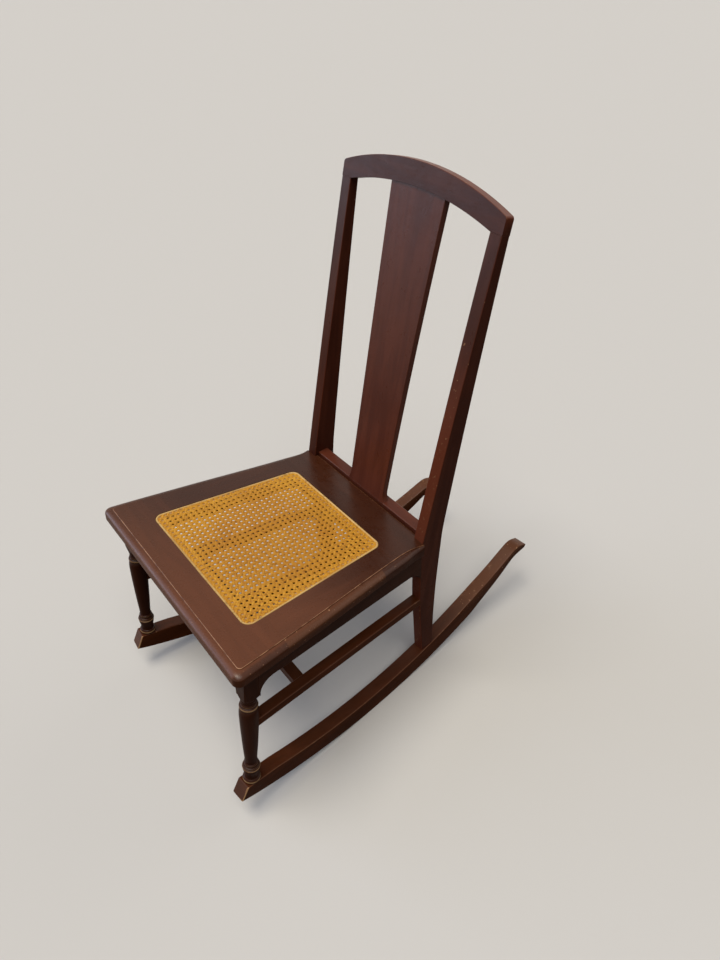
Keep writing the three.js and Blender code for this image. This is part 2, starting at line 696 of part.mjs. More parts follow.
// Name, then x and y of the square corner on the right-hand side, and which way is inward.
const BLOCK_CORNERS = [["front", 176, 24, 1], ["rear", 150, 380, -1]];

// A three-sided glue block in each inner corner, cut to the faces of the pieces it is glued to.
function cornerBlock(cornerX, cornerY, inward, side) {
  const outline = [
    [cornerX, cornerY],
    [cornerX - CORNER_BLOCK_LEG, cornerY],
    [cornerX, cornerY + inward * CORNER_BLOCK_LEG],
  ];
  const widened = outline.map(([x, y]) => [side * (x + 6), y - inward * 6]);
  const blank = planPrism(widened, BLOCK_TOP - CORNER_BLOCK_HEIGHT, BLOCK_TOP);
  const railRoom = [[RAIL_FRONT - FIT_GAP, 200], [450, 200], [450, 400], [RAIL_FRONT - FIT_GAP, 400]];
  const neighbours = join(
    frontApronRoom(),
    planStrip(side, (y) => apronOuter(y) + 30, APRON_THICKNESS + 30 + FIT_GAP, -60, 420),
    legBlockRoom(side),
    postBlank(side, FIT_GAP),
    sidePrism(railRoom, -WIDE, WIDE),
  );
  const screw = screwSolid(side * screwX(cornerX), screwY(cornerY, inward), FIT_GAP);
  return cut(blank, inSeatFrame(neighbours), screw);
}

function frontApronRoom() {
  const rear = (z) => [frontApronFace(z) + APRON_THICKNESS + FIT_GAP, z];
  return sidePrism([[-60, 200], rear(200), rear(400), [-60, 400]], -WIDE, WIDE);
}

function legBlockRoom(side) {
  const width = BLOCK_WIDTH + 2 * FIT_GAP;
  const block = new THREE.BoxGeometry(width, width, 400).translate(0, 0, 200);
  return toSolid(block.applyMatrix4(legMatrix(side)));
}

const screwX = (cornerX) => cornerX - SCREW_INSET;
const screwY = (cornerY, inward) => cornerY + inward * SCREW_INSET;
const screwFoot = BLOCK_TOP - CORNER_BLOCK_HEIGHT;

function screwGeometry(grow = 0) {
  const profile = [
    [0, -grow],
    [SCREW_HEAD_RADIUS + grow, -grow],
    [SCREW_HEAD_RADIUS + grow, 0.6],
    [SCREW_RADIUS + grow, 3.4],
    [SCREW_RADIUS + grow, SCREW_LENGTH - 4 + grow],
    [0, SCREW_LENGTH + 3 * grow],
  ];
  const geometry = new THREE.LatheGeometry(profile.map(([r, h]) => new THREE.Vector2(r, h)), 12);
  return geometry.rotateX(Math.PI / 2);
}

function screwSolid(x, y, grow) {
  return toSolid(screwGeometry(grow).translate(x, y, screwFoot));
}

function screwHoles() {
  return BLOCK_CORNERS.flatMap(([, x, y, inward]) => SIDES.map(([, side]) => (
    screwSolid(side * screwX(x), screwY(y, inward), FIT_GAP)
  )));
}

// ---------------------------------------------------------------- stretchers

const stretcherTop = (y) => STRETCHER_TOP_FRONT - STRETCHER_FALL * y;
const stretcherFront = legY(220);
const stretcherX = (y) => {
  const rear = POST_FACE_Y + 13.7;
  return LEG_X + ((postCentreX - LEG_X) * (y - stretcherFront)) / (rear - stretcherFront);
};

function sideStretcher(side) {
  const front = stretcherFront + 9;
  const rear = POST_FACE_Y - FIT_GAP;
  const bar = stretcherBar(side, front, rear, 0, STRETCHER_WIDTH, STRETCHER_HEIGHT);
  const cleared = cut(bar, frontTurningRoom(side), rearPostRoom(side));
  return cut(join(cleared, stretcherTenon(side, 0)), crossStretcherTenon(FIT_GAP));
}

function stretcherBar(side, start, end, lower, width, height, grow = 0) {
  const top = (y) => [y, stretcherTop(y) - lower + grow];
  const bottom = (y) => [y, stretcherTop(y) - lower - height - grow];
  const outer = (y) => stretcherX(y) + width / 2;
  return sidePrism([bottom(start), bottom(end), top(end), top(start)], -WIDE, WIDE)
    .intersect(planStrip(side, outer, width, start, end, grow));
}

// Tongues that enter the leg and the post.
function stretcherTenon(side, grow) {
  const tongue = (from, to) => (
    stretcherBar(side, from, to, STRETCHER_TENON_DROP, STRETCHER_TENON, STRETCHER_TENON_HEIGHT, grow)
  );
  const front = tongue(stretcherFront - 4 - grow, stretcherFront + 20);
  const rear = tongue(POST_FACE_Y - 9, POST_FACE_Y + STRETCHER_TENON + grow);
  return join(front, rear);
}

function frontTurningRoom(side) {
  const room = new THREE.LatheGeometry([[0, 100], [15.3, 100], [15.3, 182], [0, 182]].map(
    ([r, h]) => new THREE.Vector2(r, h)), 24);
  return toSolid(room.rotateX(Math.PI / 2).applyMatrix4(legMatrix(side)));
}

// The cross stretcher reaches to the side stretchers' inner faces, further in front than behind.
const crossHalf = (y) => stretcherX(y) - STRETCHER_WIDTH / 2 - FIT_GAP;

function crossStretcherBar(half, width, low, high) {
  const front = CROSS_STRETCHER_Y - width / 2;
  const rear = CROSS_STRETCHER_Y + width / 2;
  const outline = [
    [-half(front), front], [half(front), front],
    [half(rear), rear], [-half(rear), rear],
  ];
  return planPrism(outline, low, high);
}

function crossStretcherTenon(grow) {
  const half = () => crossHalf(CROSS_STRETCHER_Y) + STRETCHER_TENON + grow;
  const high = CROSS_STRETCHER_TOP - STRETCHER_TENON_DROP;
  return crossStretcherBar(half, 11 + 2 * grow, high - STRETCHER_TENON_HEIGHT - grow, high + grow);
}

function crossStretcher() {
  const low = CROSS_STRETCHER_TOP - STRETCHER_HEIGHT;
  const bar = crossStretcherBar(crossHalf, CROSS_STRETCHER_WIDTH, low, CROSS_STRETCHER_TOP);
  return join(bar, crossStretcherTenon(0));
}

// ---------------------------------------------------------------- rockers

// Height of the tail's two edges above the arc, as [y, height].
const TAIL_TOP = [[530, 39.5], [558, 37.5], [600, 36], [628, 34.5], [641, 31], [653, 22], [663, 12]];
const TAIL_UNDER = [
  [503, 0], [532, 3.5], [561, 6.5], [591, 9.5], [620, 14.5], [635, 13.5], [652, 6], [664, 0.5],
];
const TAIL_TIP = [668, 5];
const TAIL_START = 490;
const NOSE_TOP = [-34.5, 82];
const NOSE_BOTTOM_Y = -50;

const rockerTop = (y) => (
  ROCKER_RADIUS - Math.sqrt((ROCKER_RADIUS - ROCKER_DEPTH) ** 2 - (y - ROCKER_LOW_Y) ** 2)
);

// The whole side view; under the middle the arc has a short flat, so that the chair stands still.
function rockerOutline() {
  const onArc = ([y, height]) => [y, arcHeight(y, ROCKER_RADIUS) + height];
  const half = FLOOR_FACET / 2;
  const lift = arcHeight(ROCKER_LOW_Y + half, ROCKER_RADIUS);
  const sole = [
    ...between(NOSE_BOTTOM_Y, ROCKER_LOW_Y - half, 10, (y) => onArc([y, -lift])),
    ...between(ROCKER_LOW_Y + half, TAIL_START, 8, (y) => onArc([y, -lift])),
  ];
  const tail = [
    ...smooth(TAIL_UNDER, 14).map(onArc),
    onArc(TAIL_TIP),
    ...smooth(TAIL_TOP, 12).map(onArc).reverse(),
  ];
  const upper = between(TAIL_START + 10, 20, 16, (y) => [y, rockerTop(y)]);
  return [...sole, ...tail, ...upper, NOSE_TOP];
}

// Everything below the rocker's top edge, where the rear post is cut off to stand on it.
function rockerRoom() {
  const top = between(300, 460, 8, (y) => [y, rockerTop(y) + FIT_GAP]);
  return sidePrism([...top, [460, 0], [300, 0]], -WIDE, WIDE);
}

// Each rocker is a flat board that toes out towards the front.
function rocker(side) {
  const toe = side * ROCKER_CONVERGE;
  const place = new THREE.Matrix4().set(
    1, -toe, 0, side * ROCKER_CENTRE_X,
    toe, 1, 0, 0,
    0, 0, 1, 0,
    0, 0, 0, 1,
  );
  const upright = new THREE.Matrix4().makeBasis(AXIS_Y, AXIS_Z, AXIS_X).setPosition(-ROCKER_WIDTH / 2, 0, 0);
  return extrude(rockerOutline(), ROCKER_WIDTH, place.multiply(upright));
}

// ---------------------------------------------------------------- assembly

const chair = new THREE.Group();
const seat = new THREE.Group();
seat.applyMatrix4(seatMatrix);
chair.add(seat);

function addPiece(group, name, solidOrGeometry, finish) {
  const geometry = solidOrGeometry.isBufferGeometry ? solidOrGeometry : toGeometry(solidOrGeometry);
  const mesh = new THREE.Mesh(geometry, new THREE.MeshStandardMaterial(finish));
  mesh.name = name;
  group.add(mesh);
  return mesh;
}

// Rear foot dowels join each post to its rocker.
const footDowelStart = (side) => new THREE.Vector3(side * postCentreX, FOOT_DOWEL_Y, FOOT_DOWEL_BOTTOM);

function footDowelHole(side) {
  const start = footDowelStart(side).addScaledVector(AXIS_Z, -1);
  return rodSolid(FOOT_DOWEL_RADIUS + FIT_GAP, FOOT_DOWEL_LENGTH + 2, start, AXIS_Z);
}

// The round socket and the flat seat in a rocker, where the front leg's foot stands.
function legSocket(side) {
  const hole = rod(LEG_TENON_RADIUS + FIT_GAP, 60).translate(0, 0, -LEG_TENON_LENGTH - FIT_GAP);
  const flat = new THREE.BoxGeometry(60, 60, 40).translate(0, 0, 20);
  return join(toSolid(hole.applyMatrix4(legMatrix(side))), toSolid(flat.applyMatrix4(legMatrix(side))));
}

for (const [name, side] of SIDES) {
  const footHole = footDowelHole(side);
  addPiece(chair, `rocker_${name}`, cut(rocker(side), footHole, legSocket(side)), stainedWood);

  const mortises = [apronTenon(side, FIT_GAP), stretcherTenon(side, FIT_GAP)];
  const leg = cut(turnedLeg(side), frontApronTenon(FIT_GAP), ...mortises);
  addPiece(chair, `front_leg_${name}`, leg, stainedWood);

  const holes = [railTenon(FIT_GAP), footHole, ...mortises, ...crestDowelHoles()];
  const post = cut(postBlank(side), rockerRoom(), ...holes);
  addPiece(chair, `rear_post_${name}`, post, stainedWood);
  addPiece(chair, `side_apron_${name}`, sideApron(side), stainedWood);
  addPiece(chair, `side_stretcher_${name}`, sideStretcher(side), stainedWood);

  const footDowel = rod(FOOT_DOWEL_RADIUS, FOOT_DOWEL_LENGTH);
  addPiece(chair, `rear_foot_dowel_${name}`, footDowel, rawWood).position.copy(footDowelStart(side));
}

addPiece(chair, "crest_rail", crestRail(), stainedWood);
addPiece(chair, "splat", splat(), stainedWood);
addPiece(chair, "rear_rail", rearRail(), stainedWood);
addPiece(chair, "front_apron", frontApron(), stainedWood);
addPiece(chair, "cross_stretcher", crossStretcher(), stainedWood);

for (const [name, start] of crestDowels) {
  const dowel = addPiece(chair, name, rod(CREST_DOWEL_RADIUS, CREST_DOWEL_LENGTH), rawWood);
  dowel.position.copy(start);
  dowel.quaternion.setFromUnitVectors(AXIS_Z, crestUp);
}

const boards = seatBoards(SIDES.map(([, side]) => postBlank(side, FIT_GAP)));
for (const [name, board] of Object.entries(boards)) {
  addPiece(seat, name, board, stainedWood);
}
addPiece(seat, "cane_sheet", caneSheet(), cane);
addPiece(seat, "cane_spline", splineRing(), cane);

for (const [place, x, y] of seatDowels) {
  for (const [name, side] of SIDES) {
    const dowel = addPiece(seat, `seat_dowel_${name}_${place}`, rod(DOWEL_RADIUS, DOWEL_LENGTH), rawWood);
    dowel.position.copy(seatDowelStart(side * x, y));
    dowel.rotation.x = -Math.PI / 2;
  }
}

for (const [place, x, y, inward] of BLOCK_CORNERS) {
  for (const [name, side] of SIDES) {
    addPiece(seat, `corner_block_${place}_${name}`, cornerBlock(x, y, inward, side), rawWood);
    const screw = addPiece(seat, `seat_screw_${place}_${name}`, screwGeometry(), steel);
    screw.position.set(side * screwX(x), screwY(y, inward), screwFoot);
  }
}

// The origin goes to the middle of the footprint, on the floor.
const box = new THREE.Box3().setFromObject(chair);
const middle = box.getCenter(new THREE.Vector3());
chair.position.set(-middle.x, -middle.y, -box.min.z);

export default chair;
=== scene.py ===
"""Low caned rocking chair: the finished surfaces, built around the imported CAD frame.

Shapes are drawn in millimetres in the drawing's own frame, where y = 0 is the front edge of the
seat's flat top and z = 0 is the floor, and to_row() carries them to the CAD model's frame in metres.
"""

import math
import random

import bmesh
import bpy
import numpy as np
from mathutils import Matrix, Vector, geometry


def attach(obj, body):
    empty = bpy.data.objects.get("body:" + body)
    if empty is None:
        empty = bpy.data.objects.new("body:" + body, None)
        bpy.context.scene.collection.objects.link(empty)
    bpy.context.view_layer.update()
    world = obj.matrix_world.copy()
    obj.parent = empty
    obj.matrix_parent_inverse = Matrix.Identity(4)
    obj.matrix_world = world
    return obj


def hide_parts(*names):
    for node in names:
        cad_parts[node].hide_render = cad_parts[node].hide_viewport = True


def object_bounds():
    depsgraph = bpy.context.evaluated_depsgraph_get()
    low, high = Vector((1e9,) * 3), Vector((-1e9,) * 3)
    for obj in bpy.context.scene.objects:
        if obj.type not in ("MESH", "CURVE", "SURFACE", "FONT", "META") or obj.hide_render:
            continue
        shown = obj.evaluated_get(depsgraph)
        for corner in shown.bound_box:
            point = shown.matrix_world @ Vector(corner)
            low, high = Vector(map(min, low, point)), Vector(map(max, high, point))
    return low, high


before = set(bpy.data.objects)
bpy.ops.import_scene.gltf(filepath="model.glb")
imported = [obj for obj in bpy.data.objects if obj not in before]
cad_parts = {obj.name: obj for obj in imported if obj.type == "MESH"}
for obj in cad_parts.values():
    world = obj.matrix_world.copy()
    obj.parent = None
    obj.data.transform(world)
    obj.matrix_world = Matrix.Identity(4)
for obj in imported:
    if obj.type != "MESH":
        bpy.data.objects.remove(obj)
CAD_LOW, CAD_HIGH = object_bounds()

# ---- driving dimensions, in mm

MM = 0.001
X, Y, Z = Vector((1, 0, 0)), Vector((0, 1, 0)), Vector((0, 0, 1))
ROCKER_WIDTH = 25.5
ROCKER_ROUND = 1.8
ROCKER_X = 187.55
ROCKER_TOE = 0.093
NOSE_REACH = 50
DRAWING_TO_ROW = Vector((0, CAD_LOW.y / MM + NOSE_REACH + ROCKER_TOE * ROCKER_WIDTH / 2, CAD_LOW.z / MM))
SIDES = (("left", -1), ("right", 1))

SEAT_HEIGHT = 372
SEAT_SLOPE = 0.1148
SEAT_ANGLE = math.atan(SEAT_SLOPE)
SEAT_THICKNESS = 22
# The right edge of the seat's flat top, as (y, x).
SEAT_EDGE = (
    (0, 208), (50, 201.5), (150, 187), (250, 171.5), (310, 163),
    (326, 161.4), (342, 161.2), (356, 163), (367, 165.5),
)
SEAT_REAR = 371
SEAT_CORNER = 5.5
FRONT_JOINT = 77
REAR_JOINT = 275

CANE_FRONT = 44
CANE_REAR = 311.3
CANE_HALF_FRONT = 151
CANE_HALF_REAR = 125.2
CANE_CORNER = 15
SPLINE_WIDTH = 4.4
GROOVE = 5
CANE_LAND = 9
CANE_PITCH = 9.525
STRAND_WIDTH = 3.05
TWIN_OFFSET = STRAND_WIDTH / 2 + 0.04
STRAND_THICKNESS = 1.2
CANE_LEVEL = -2.3
WEAVE_RISE = 0.4
DIAGONAL_RISE = 0.9

POST_INNER = 141.5
POST_WIDTH = 21.3
POST_SPLAY = 0.0125
BEND = 330
POST_TOP = 809
POST_DEPTH = 43
POST_TAPER = 0.0568
# Above the bend, the post's front edge, as (y, slope, curvature) at the bend.
POST_CURVE = (366.3, 0.2425, 3.0e-5)
# Below the bend, the post's front and rear edges, as (z, y).
POST_FRONT_LOW = ((46, 366.8), (116, 364), (190, 361), (262, 361.8), (310, 361.9))
POST_REAR_LOW = ((46, 393), (130, 394.6), (206, 398.6), (268, 404), (334, 410.6), (360, 415))

CREST_DEPTH = 15.5
CREST_HALF = 168.6
CREST_SHOULDER = 832
CREST_TOP = 861.4
CREST_RISE = 20
CREST_CORNER = 3

SPLAT_THICKNESS = 11
# The splat's front face and its half width, as (value, slope, curvature) at the bend.
SPLAT_CURVE = (374.8, 0.2345, 2.04e-5)
SPLAT_HALF = (44, 0.013, 2.6e-5)
SPLAT_FLARE = 5
SPLAT_FLARE_HEIGHT = 18
RAIL_FRONT = 375.6
RAIL_BOTTOM = 272
SHOE_TOP = 335.2
RAIL_REAR = 396.5
RAIL_FRONT_ROUND = 1.4
RAIL_REAR_ROUND = 2.2

LEG_X = 190.2
LEG_FOOT = (-18.6, 80)
LEG_LEAN = 0.14
LEG_BLOCK = 26
LEG_BLOCK_ROUND = 1.6
BLOCK_BOTTOM = 200
LEG_LENGTH = 285
LEG_SEGMENTS = 48

APRON_THICKNESS = 19
APRON_DROP = 62
APRON_END_DROP = 90
APRON_CURVE = APRON_END_DROP - APRON_DROP
APRON_SETBACK = 0.6
APRON_FRONT_Y = 20
APRON_REAR_Y = 366

ARC = 871
ARC_Y = 257
ROCKER_DEPTH = 38
NOSE_TOP = (-34.5, 82)
# Where the nose ends on the lower and the upper edge, and where the tail starts.
NOSE_END_LOW = 13
NOSE_END_HIGH = 22
TAIL_START = 490
# The tail's upper and lower edges, as (y, height above the arc carried on).
TAIL_TOP = ((500, 39.6), (530, 39.5), (558, 37.5), (600, 36), (628, 34.5), (641, 31), (653, 22), (663, 12))
TAIL_UNDER = (
    (490, 0), (503, 0), (532, 3.5), (561, 6.5), (591, 9.5), (620, 14.5), (635, 13.5), (652, 6), (664, 0.5),
)
# The tail's rounded tip, as (y below, height below, y above, height above) over the arc.
TAIL_TIP = ((664, 0.5, 664, 11), (666, 1.5, 666.2, 8.8), (667.3, 3, 667.4, 6.8), (667.9, 4.4, 667.9, 5.6))

STRETCHER_WIDTH = 19
STRETCHER_HEIGHT = 16
STRETCHER_TOP = 226
STRETCHER_FALL = 0.086
STRETCHER_FRONT_Z = 220
STRETCHER_REAR_Y = 375
CROSS_Y = 102
CROSS_TOP = 214.5
CROSS_WIDTH = 20
CROSS_HEIGHT = 16

# Turned outline of the front leg as (height above the rocker, radius): the foot, the vase and the neck.
LEG_FOOT_TURNING = (
    (0, 13.2), (0.8, 13.9), (1.8, 14.2), (3.6, 14.3), (5.4, 14.1), (6.4, 13.6), (8, 12.4), (8.8, 11.2),
    (11, 10.9), (14, 11.1), (18, 11.6), (22, 12.3), (25.5, 13.1), (28, 13.6), (29.6, 13.5), (30.5, 12.7),
    (31, 12.6), (31.4, 13.7), (32.2, 14.2), (33.4, 14.4), (34.4, 14.1), (35, 13.4), (35.4, 12.2),
    (36, 12.6), (37, 12.9), (38, 12.7), (38.6, 11.8), (39, 10.2), (40.2, 9.7), (41.2, 10), (42, 11),
    (43.4, 11.4), (44.6, 11.1), (45.2, 10.2),
)
LEG_VASE = (
    (46, 9.5), (52, 9.8), (66, 10.6), (85, 11.8), (110, 13), (134, 14.1), (155, 14.8), (166, 14.95),
    (173, 14.6),
)
LEG_NECK_TURNING = (
    (176, 14.1), (178, 13.5), (179.2, 12.8), (180, 12.6), (180.4, 13.4), (181.4, 14), (183, 14.3),
    (184.6, 14), (185.4, 13.3), (185.8, 12), (186.6, 11.3), (188, 11.3), (188.4, 12), (189.2, 12.3),
    (190.6, 12.2), (191.4, 11.6), (192, 11.1), (194, 10.9), (197, 11.3), (199, 12.2),
)
# Heights of the beads' crests, where the stain is rubbed pale.
LEG_BEADS = (3.6, 5.4, 33.4, 34.4, 37, 43.4, 183, 184.6, 189.2)

# ---- camera, light and floor

CAMERA_PLACE = (777.8, -191.4, 1181.1)
CAMERA_HEADING = math.radians(54.39)
CAMERA_DOWN = math.radians(40.55)
CAMERA_ROLL = math.radians(-3.59)
CAMERA_LENS = 27.21


def to_row(point):
    return (Vector(point) + DRAWING_TO_ROW) * MM


def make_camera():
    data = bpy.data.cameras.new("camera")
    data.lens = CAMERA_LENS
    data.sensor_width = 36
    camera = bpy.data.objects.new("camera", data)
    heading = Matrix.Rotation(CAMERA_HEADING, 4, "Z")
    tilt = Matrix.Rotation(math.pi / 2 - CAMERA_DOWN, 4, "X")
    roll = Matrix.Rotation(CAMERA_ROLL, 4, "Z")
    camera.matrix_world = Matrix.Translation(to_row(CAMERA_PLACE)) @ heading @ tilt @ roll
    bpy.context.scene.collection.objects.link(camera)
    bpy.context.scene.camera = camera


def soft_sun(name, towards, spread, power, colour):
    data = bpy.data.lights.new(name, "SUN")
    data.energy = power
    data.angle = math.radians(spread)
    data.color = colour
    light = bpy.data.objects.new(name, data)
    light.rotation_mode = "QUATERNION"
    light.rotation_quaternion = Vector(towards).to_track_quat("Z", "Y")
    bpy.context.scene.collection.objects.link(light)


def make_world(ambient, shown):
    """Even soft light, and the same pale backdrop for the camera and for reflections."""
    world = bpy.data.worlds.new("studio")
    bpy.context.scene.world = world
    world.use_nodes = True
    nodes, links = world.node_tree.nodes, world.node_tree.links
    background = nodes["Background"]
    backdrop = nodes.new("ShaderNodeBackground")
    mix = nodes.new("ShaderNodeMixShader")
    background.inputs["Color"].default_value = (*ambient, 1)
    backdrop.inputs["Color"].default_value = (*shown, 1)
    links.new(seen_directly(world.node_tree), mix.inputs["Fac"])
    links.new(background.outputs[0], mix.inputs[1])
    links.new(backdrop.outputs[0], mix.inputs[2])
    links.new(mix.outputs[0], nodes["World Output"].inputs["Surface"])


def seen_directly(tree):
    """1 for camera, mirror and glass rays, and 0 for the rays that carry soft light."""
    path = tree.nodes.new("ShaderNodeLightPath")
    seen = path.outputs["Is Camera Ray"]
    for kind in ("Is Glossy Ray", "Is Transmission Ray"):
        either = tree.nodes.new("ShaderNodeMath")
        either.operation = "MAXIMUM"
        tree.links.new(seen, either.inputs[0])
        tree.links.new(path.outputs[kind], either.inputs[1])
        seen = either.outputs[0]
    return seen


def make_floor(shown, bounced):
    """A pale floor that throws little light back up at the chair."""
    bpy.ops.mesh.primitive_circle_add(vertices=96, radius=40, fill_type="NGON", location=(0, 0, CAD_LOW.z))
    floor = bpy.context.object
    floor.name = "floor"
    n = Nodes("floor")
    n.link(n.mix(seen_directly(n.tree), bounced, shown), n.shader.inputs["Base Color"])
    n.set(Roughness=0.9, Specular_IOR_Level=0.1)
    floor.data.materials.append(n.material)


# ---- curves

def spline(points, count):
    """Catmull-Rom curve through 2-D points, with count steps between each two."""
    p = [np.array(q, float) for q in points]
    p = [2 * p[0] - p[1], *p, 2 * p[-1] - p[-2]]
    made = []
    for a, b, c, d in zip(p, p[1:], p[2:], p[3:]):
        for step in range(count):
            t = step / count
            squared = (2 * a - 5 * b + 4 * c - d) * t**2
            cubed = (3 * b - a - 3 * c + d) * t**3
            made.append(0.5 * (2 * b + (c - a) * t + squared + cubed))
    made.append(p[-2])
    return [tuple(q) for q in made]


def reader(points, count=12):
    """A function that reads the smooth curve through (key, value) points."""
    curve = np.array(spline(points, count))
    return lambda key: float(np.interp(key, curve[:, 0], curve[:, 1]))


def steps(low, high, count):
    return [low + (high - low) * i / count for i in range(count + 1)]


def round_corner(before, corner, after, radius, count=8):
    """The arc that rounds off a corner between two other 2-D points."""
    c = Vector(corner)
    to_before = (Vector(before) - c).normalized()
    to_after = (Vector(after) - c).normalized()
    half = to_before.angle(to_after) / 2
    centre = c + (to_before + to_after).normalized() * (radius / math.sin(half))
    first = c + to_before * (radius / math.tan(half)) - centre
    last = c + to_after * (radius / math.tan(half)) - centre
    turn = math.atan2(first.cross(last), first.dot(last))
    return [tuple(centre + Matrix.Rotation(turn * t, 2) @ first) for t in steps(0, 1, count)]


# ---- meshes

def make_piece(name, points, faces, material, slot, nodes, grain, wear=None, seed=0.0):
    """Links a mesh piece.

    Points are in drawing mm, grain is the direction that the fibres run, and seed shifts their figure.
    """
    mesh = bpy.data.meshes.new(name)
    place = (np.array(points, float) + np.array(DRAWING_TO_ROW)) * MM
    mesh.from_pydata(place.tolist(), [], faces)
    along = Vector(grain).normalized()
    side = along.orthogonal().normalized()
    axes = np.array([along, side, along.cross(side)])
    fibres = place @ axes.T + np.array([seed * 1.7, seed * 0.9, seed * 2.3])
    attribute = mesh.attributes.new("grain", "FLOAT_VECTOR", "POINT")
    attribute.data.foreach_set("vector", fibres.astype(np.float32).ravel())
    worn = mesh.attributes.new("wear", "FLOAT", "POINT")
    if wear:
        worn.data.foreach_set("value", np.array(wear, np.float32))
    mesh.polygons.foreach_set("use_smooth", [True] * len(mesh.polygons))
    mesh.set_sharp_from_angle(angle=math.radians(38))
    mesh.materials.append(material)
    mesh.update()
    piece = bpy.data.objects.new(name, mesh)
    bpy.context.scene.collection.objects.link(piece)
    piece.modifiers.new("flat_faces", "WEIGHTED_NORMAL").keep_sharp = True
    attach(piece, "root")
    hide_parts(*nodes)
    return piece


def wooden(node, shape, material, grain, wear, seed):
    """One stained piece, which stands for the CAD node of the same name."""
    return make_piece(f"{node}_wood", *shape, material, "stained_wood", [node], grain, wear, seed)


def rounded_section(half_width, half_height, radius, low_radius=None, arc=3):
    """Points round a rectangle with rounded corners, and how exposed to wear each one is."""
    most = 0.95 * min(half_width, half_height)
    section = []
    for quarter, (x, y) in enumerate(((1, 1), (-1, 1), (-1, -1), (1, -1))):
        r = min(most, radius if y > 0 or low_radius is None else low_radius)
        for step in range(arc + 1):
            angle = math.pi / 2 * (quarter + step / arc)
            across = x * (half_width - r) + r * math.cos(angle)
            up = y * (half_height - r) + r * math.sin(angle)
            section.append((across, up, 1.0 if 0 < step < arc else 0.0))
    return section


def bar(stations, radius, rub, round_start=0.0):
    """A solid bar through stations of (centre, width and height direction, half width, half height).

    rub is the wear of the arrises, or a function of (arris or face, centre, across, up) that gives it.
    """
    rings = [(Vector(c), Vector(u), Vector(v), w, h) for c, u, v, w, h in stations]
    if round_start:
        outward = (rings[0][0] - rings[1][0]).normalized()
        rings[:1] = end_rings(rings[0], outward, round_start)[::-1]
    rows, wear = [], []
    for c, u, v, w, h in rings:
        section = rounded_section(w, h, radius)
        rows.append([c + u * across + v * up for across, up, worn in section])
        for across, up, worn in section:
            wear.append(rub(worn, c, across, up) if callable(rub) else rub * worn)
    return sweep(rows), wear


def end_rings(ring, outward, radius):
    """The rings that round off one end, from the full section to the end face."""
    c, u, v, w, h = ring
    made = []
    for angle in (0, 30, 60, 90):
        inset = radius * (1 - math.cos(math.radians(angle)))
        back = radius * (1 - math.sin(math.radians(angle)))
        made.append((c - outward * back, u, v, w - inset, h - inset))
    return made


def orient(points, faces):
    """Turns all faces outward."""
    volume = 0.0
    for face in faces:
        a = points[face[0]]
        for b, c in zip(face[1:], face[2:]):
            volume += a.dot(points[b].cross(points[c]))
    if volume < 0:
        faces = [face[::-1] for face in faces]
    return points, faces


def sweep(sections, closed_path=False):
    """Faces between equal closed loops of points; the path from loop to loop may close on itself too."""
    count = len(sections[0])
    points = [Vector(p) for row in sections for p in row]
    faces = []
    rows = len(sections)
    for row in range(rows if closed_path else rows - 1):
        following = (row + 1) % rows
        for i in range(count):
            j = (i + 1) % count
            a, b = row * count, following * count
            faces.append((a + i, a + j, b + j, b + i))
    if not closed_path:
        faces.append(tuple(range(count))[::-1])
        faces.append(tuple(range((rows - 1) * count, rows * count)))
    return orient(points, faces)


# ---- materials

# Wood where the stain is thin, rubbed through or was never put on, then the colours of painted light and
# painted shade.
THIN_STAIN = (0.12, 0.042, 0.016)
RUBBED = (0.34, 0.18, 0.09)
BARE = (0.42, 0.25, 0.12)
PAINTED_LIGHT = (0.24, 0.080, 0.030)
PAINTED_SHADE = (0.014, 0.003, 0.001)


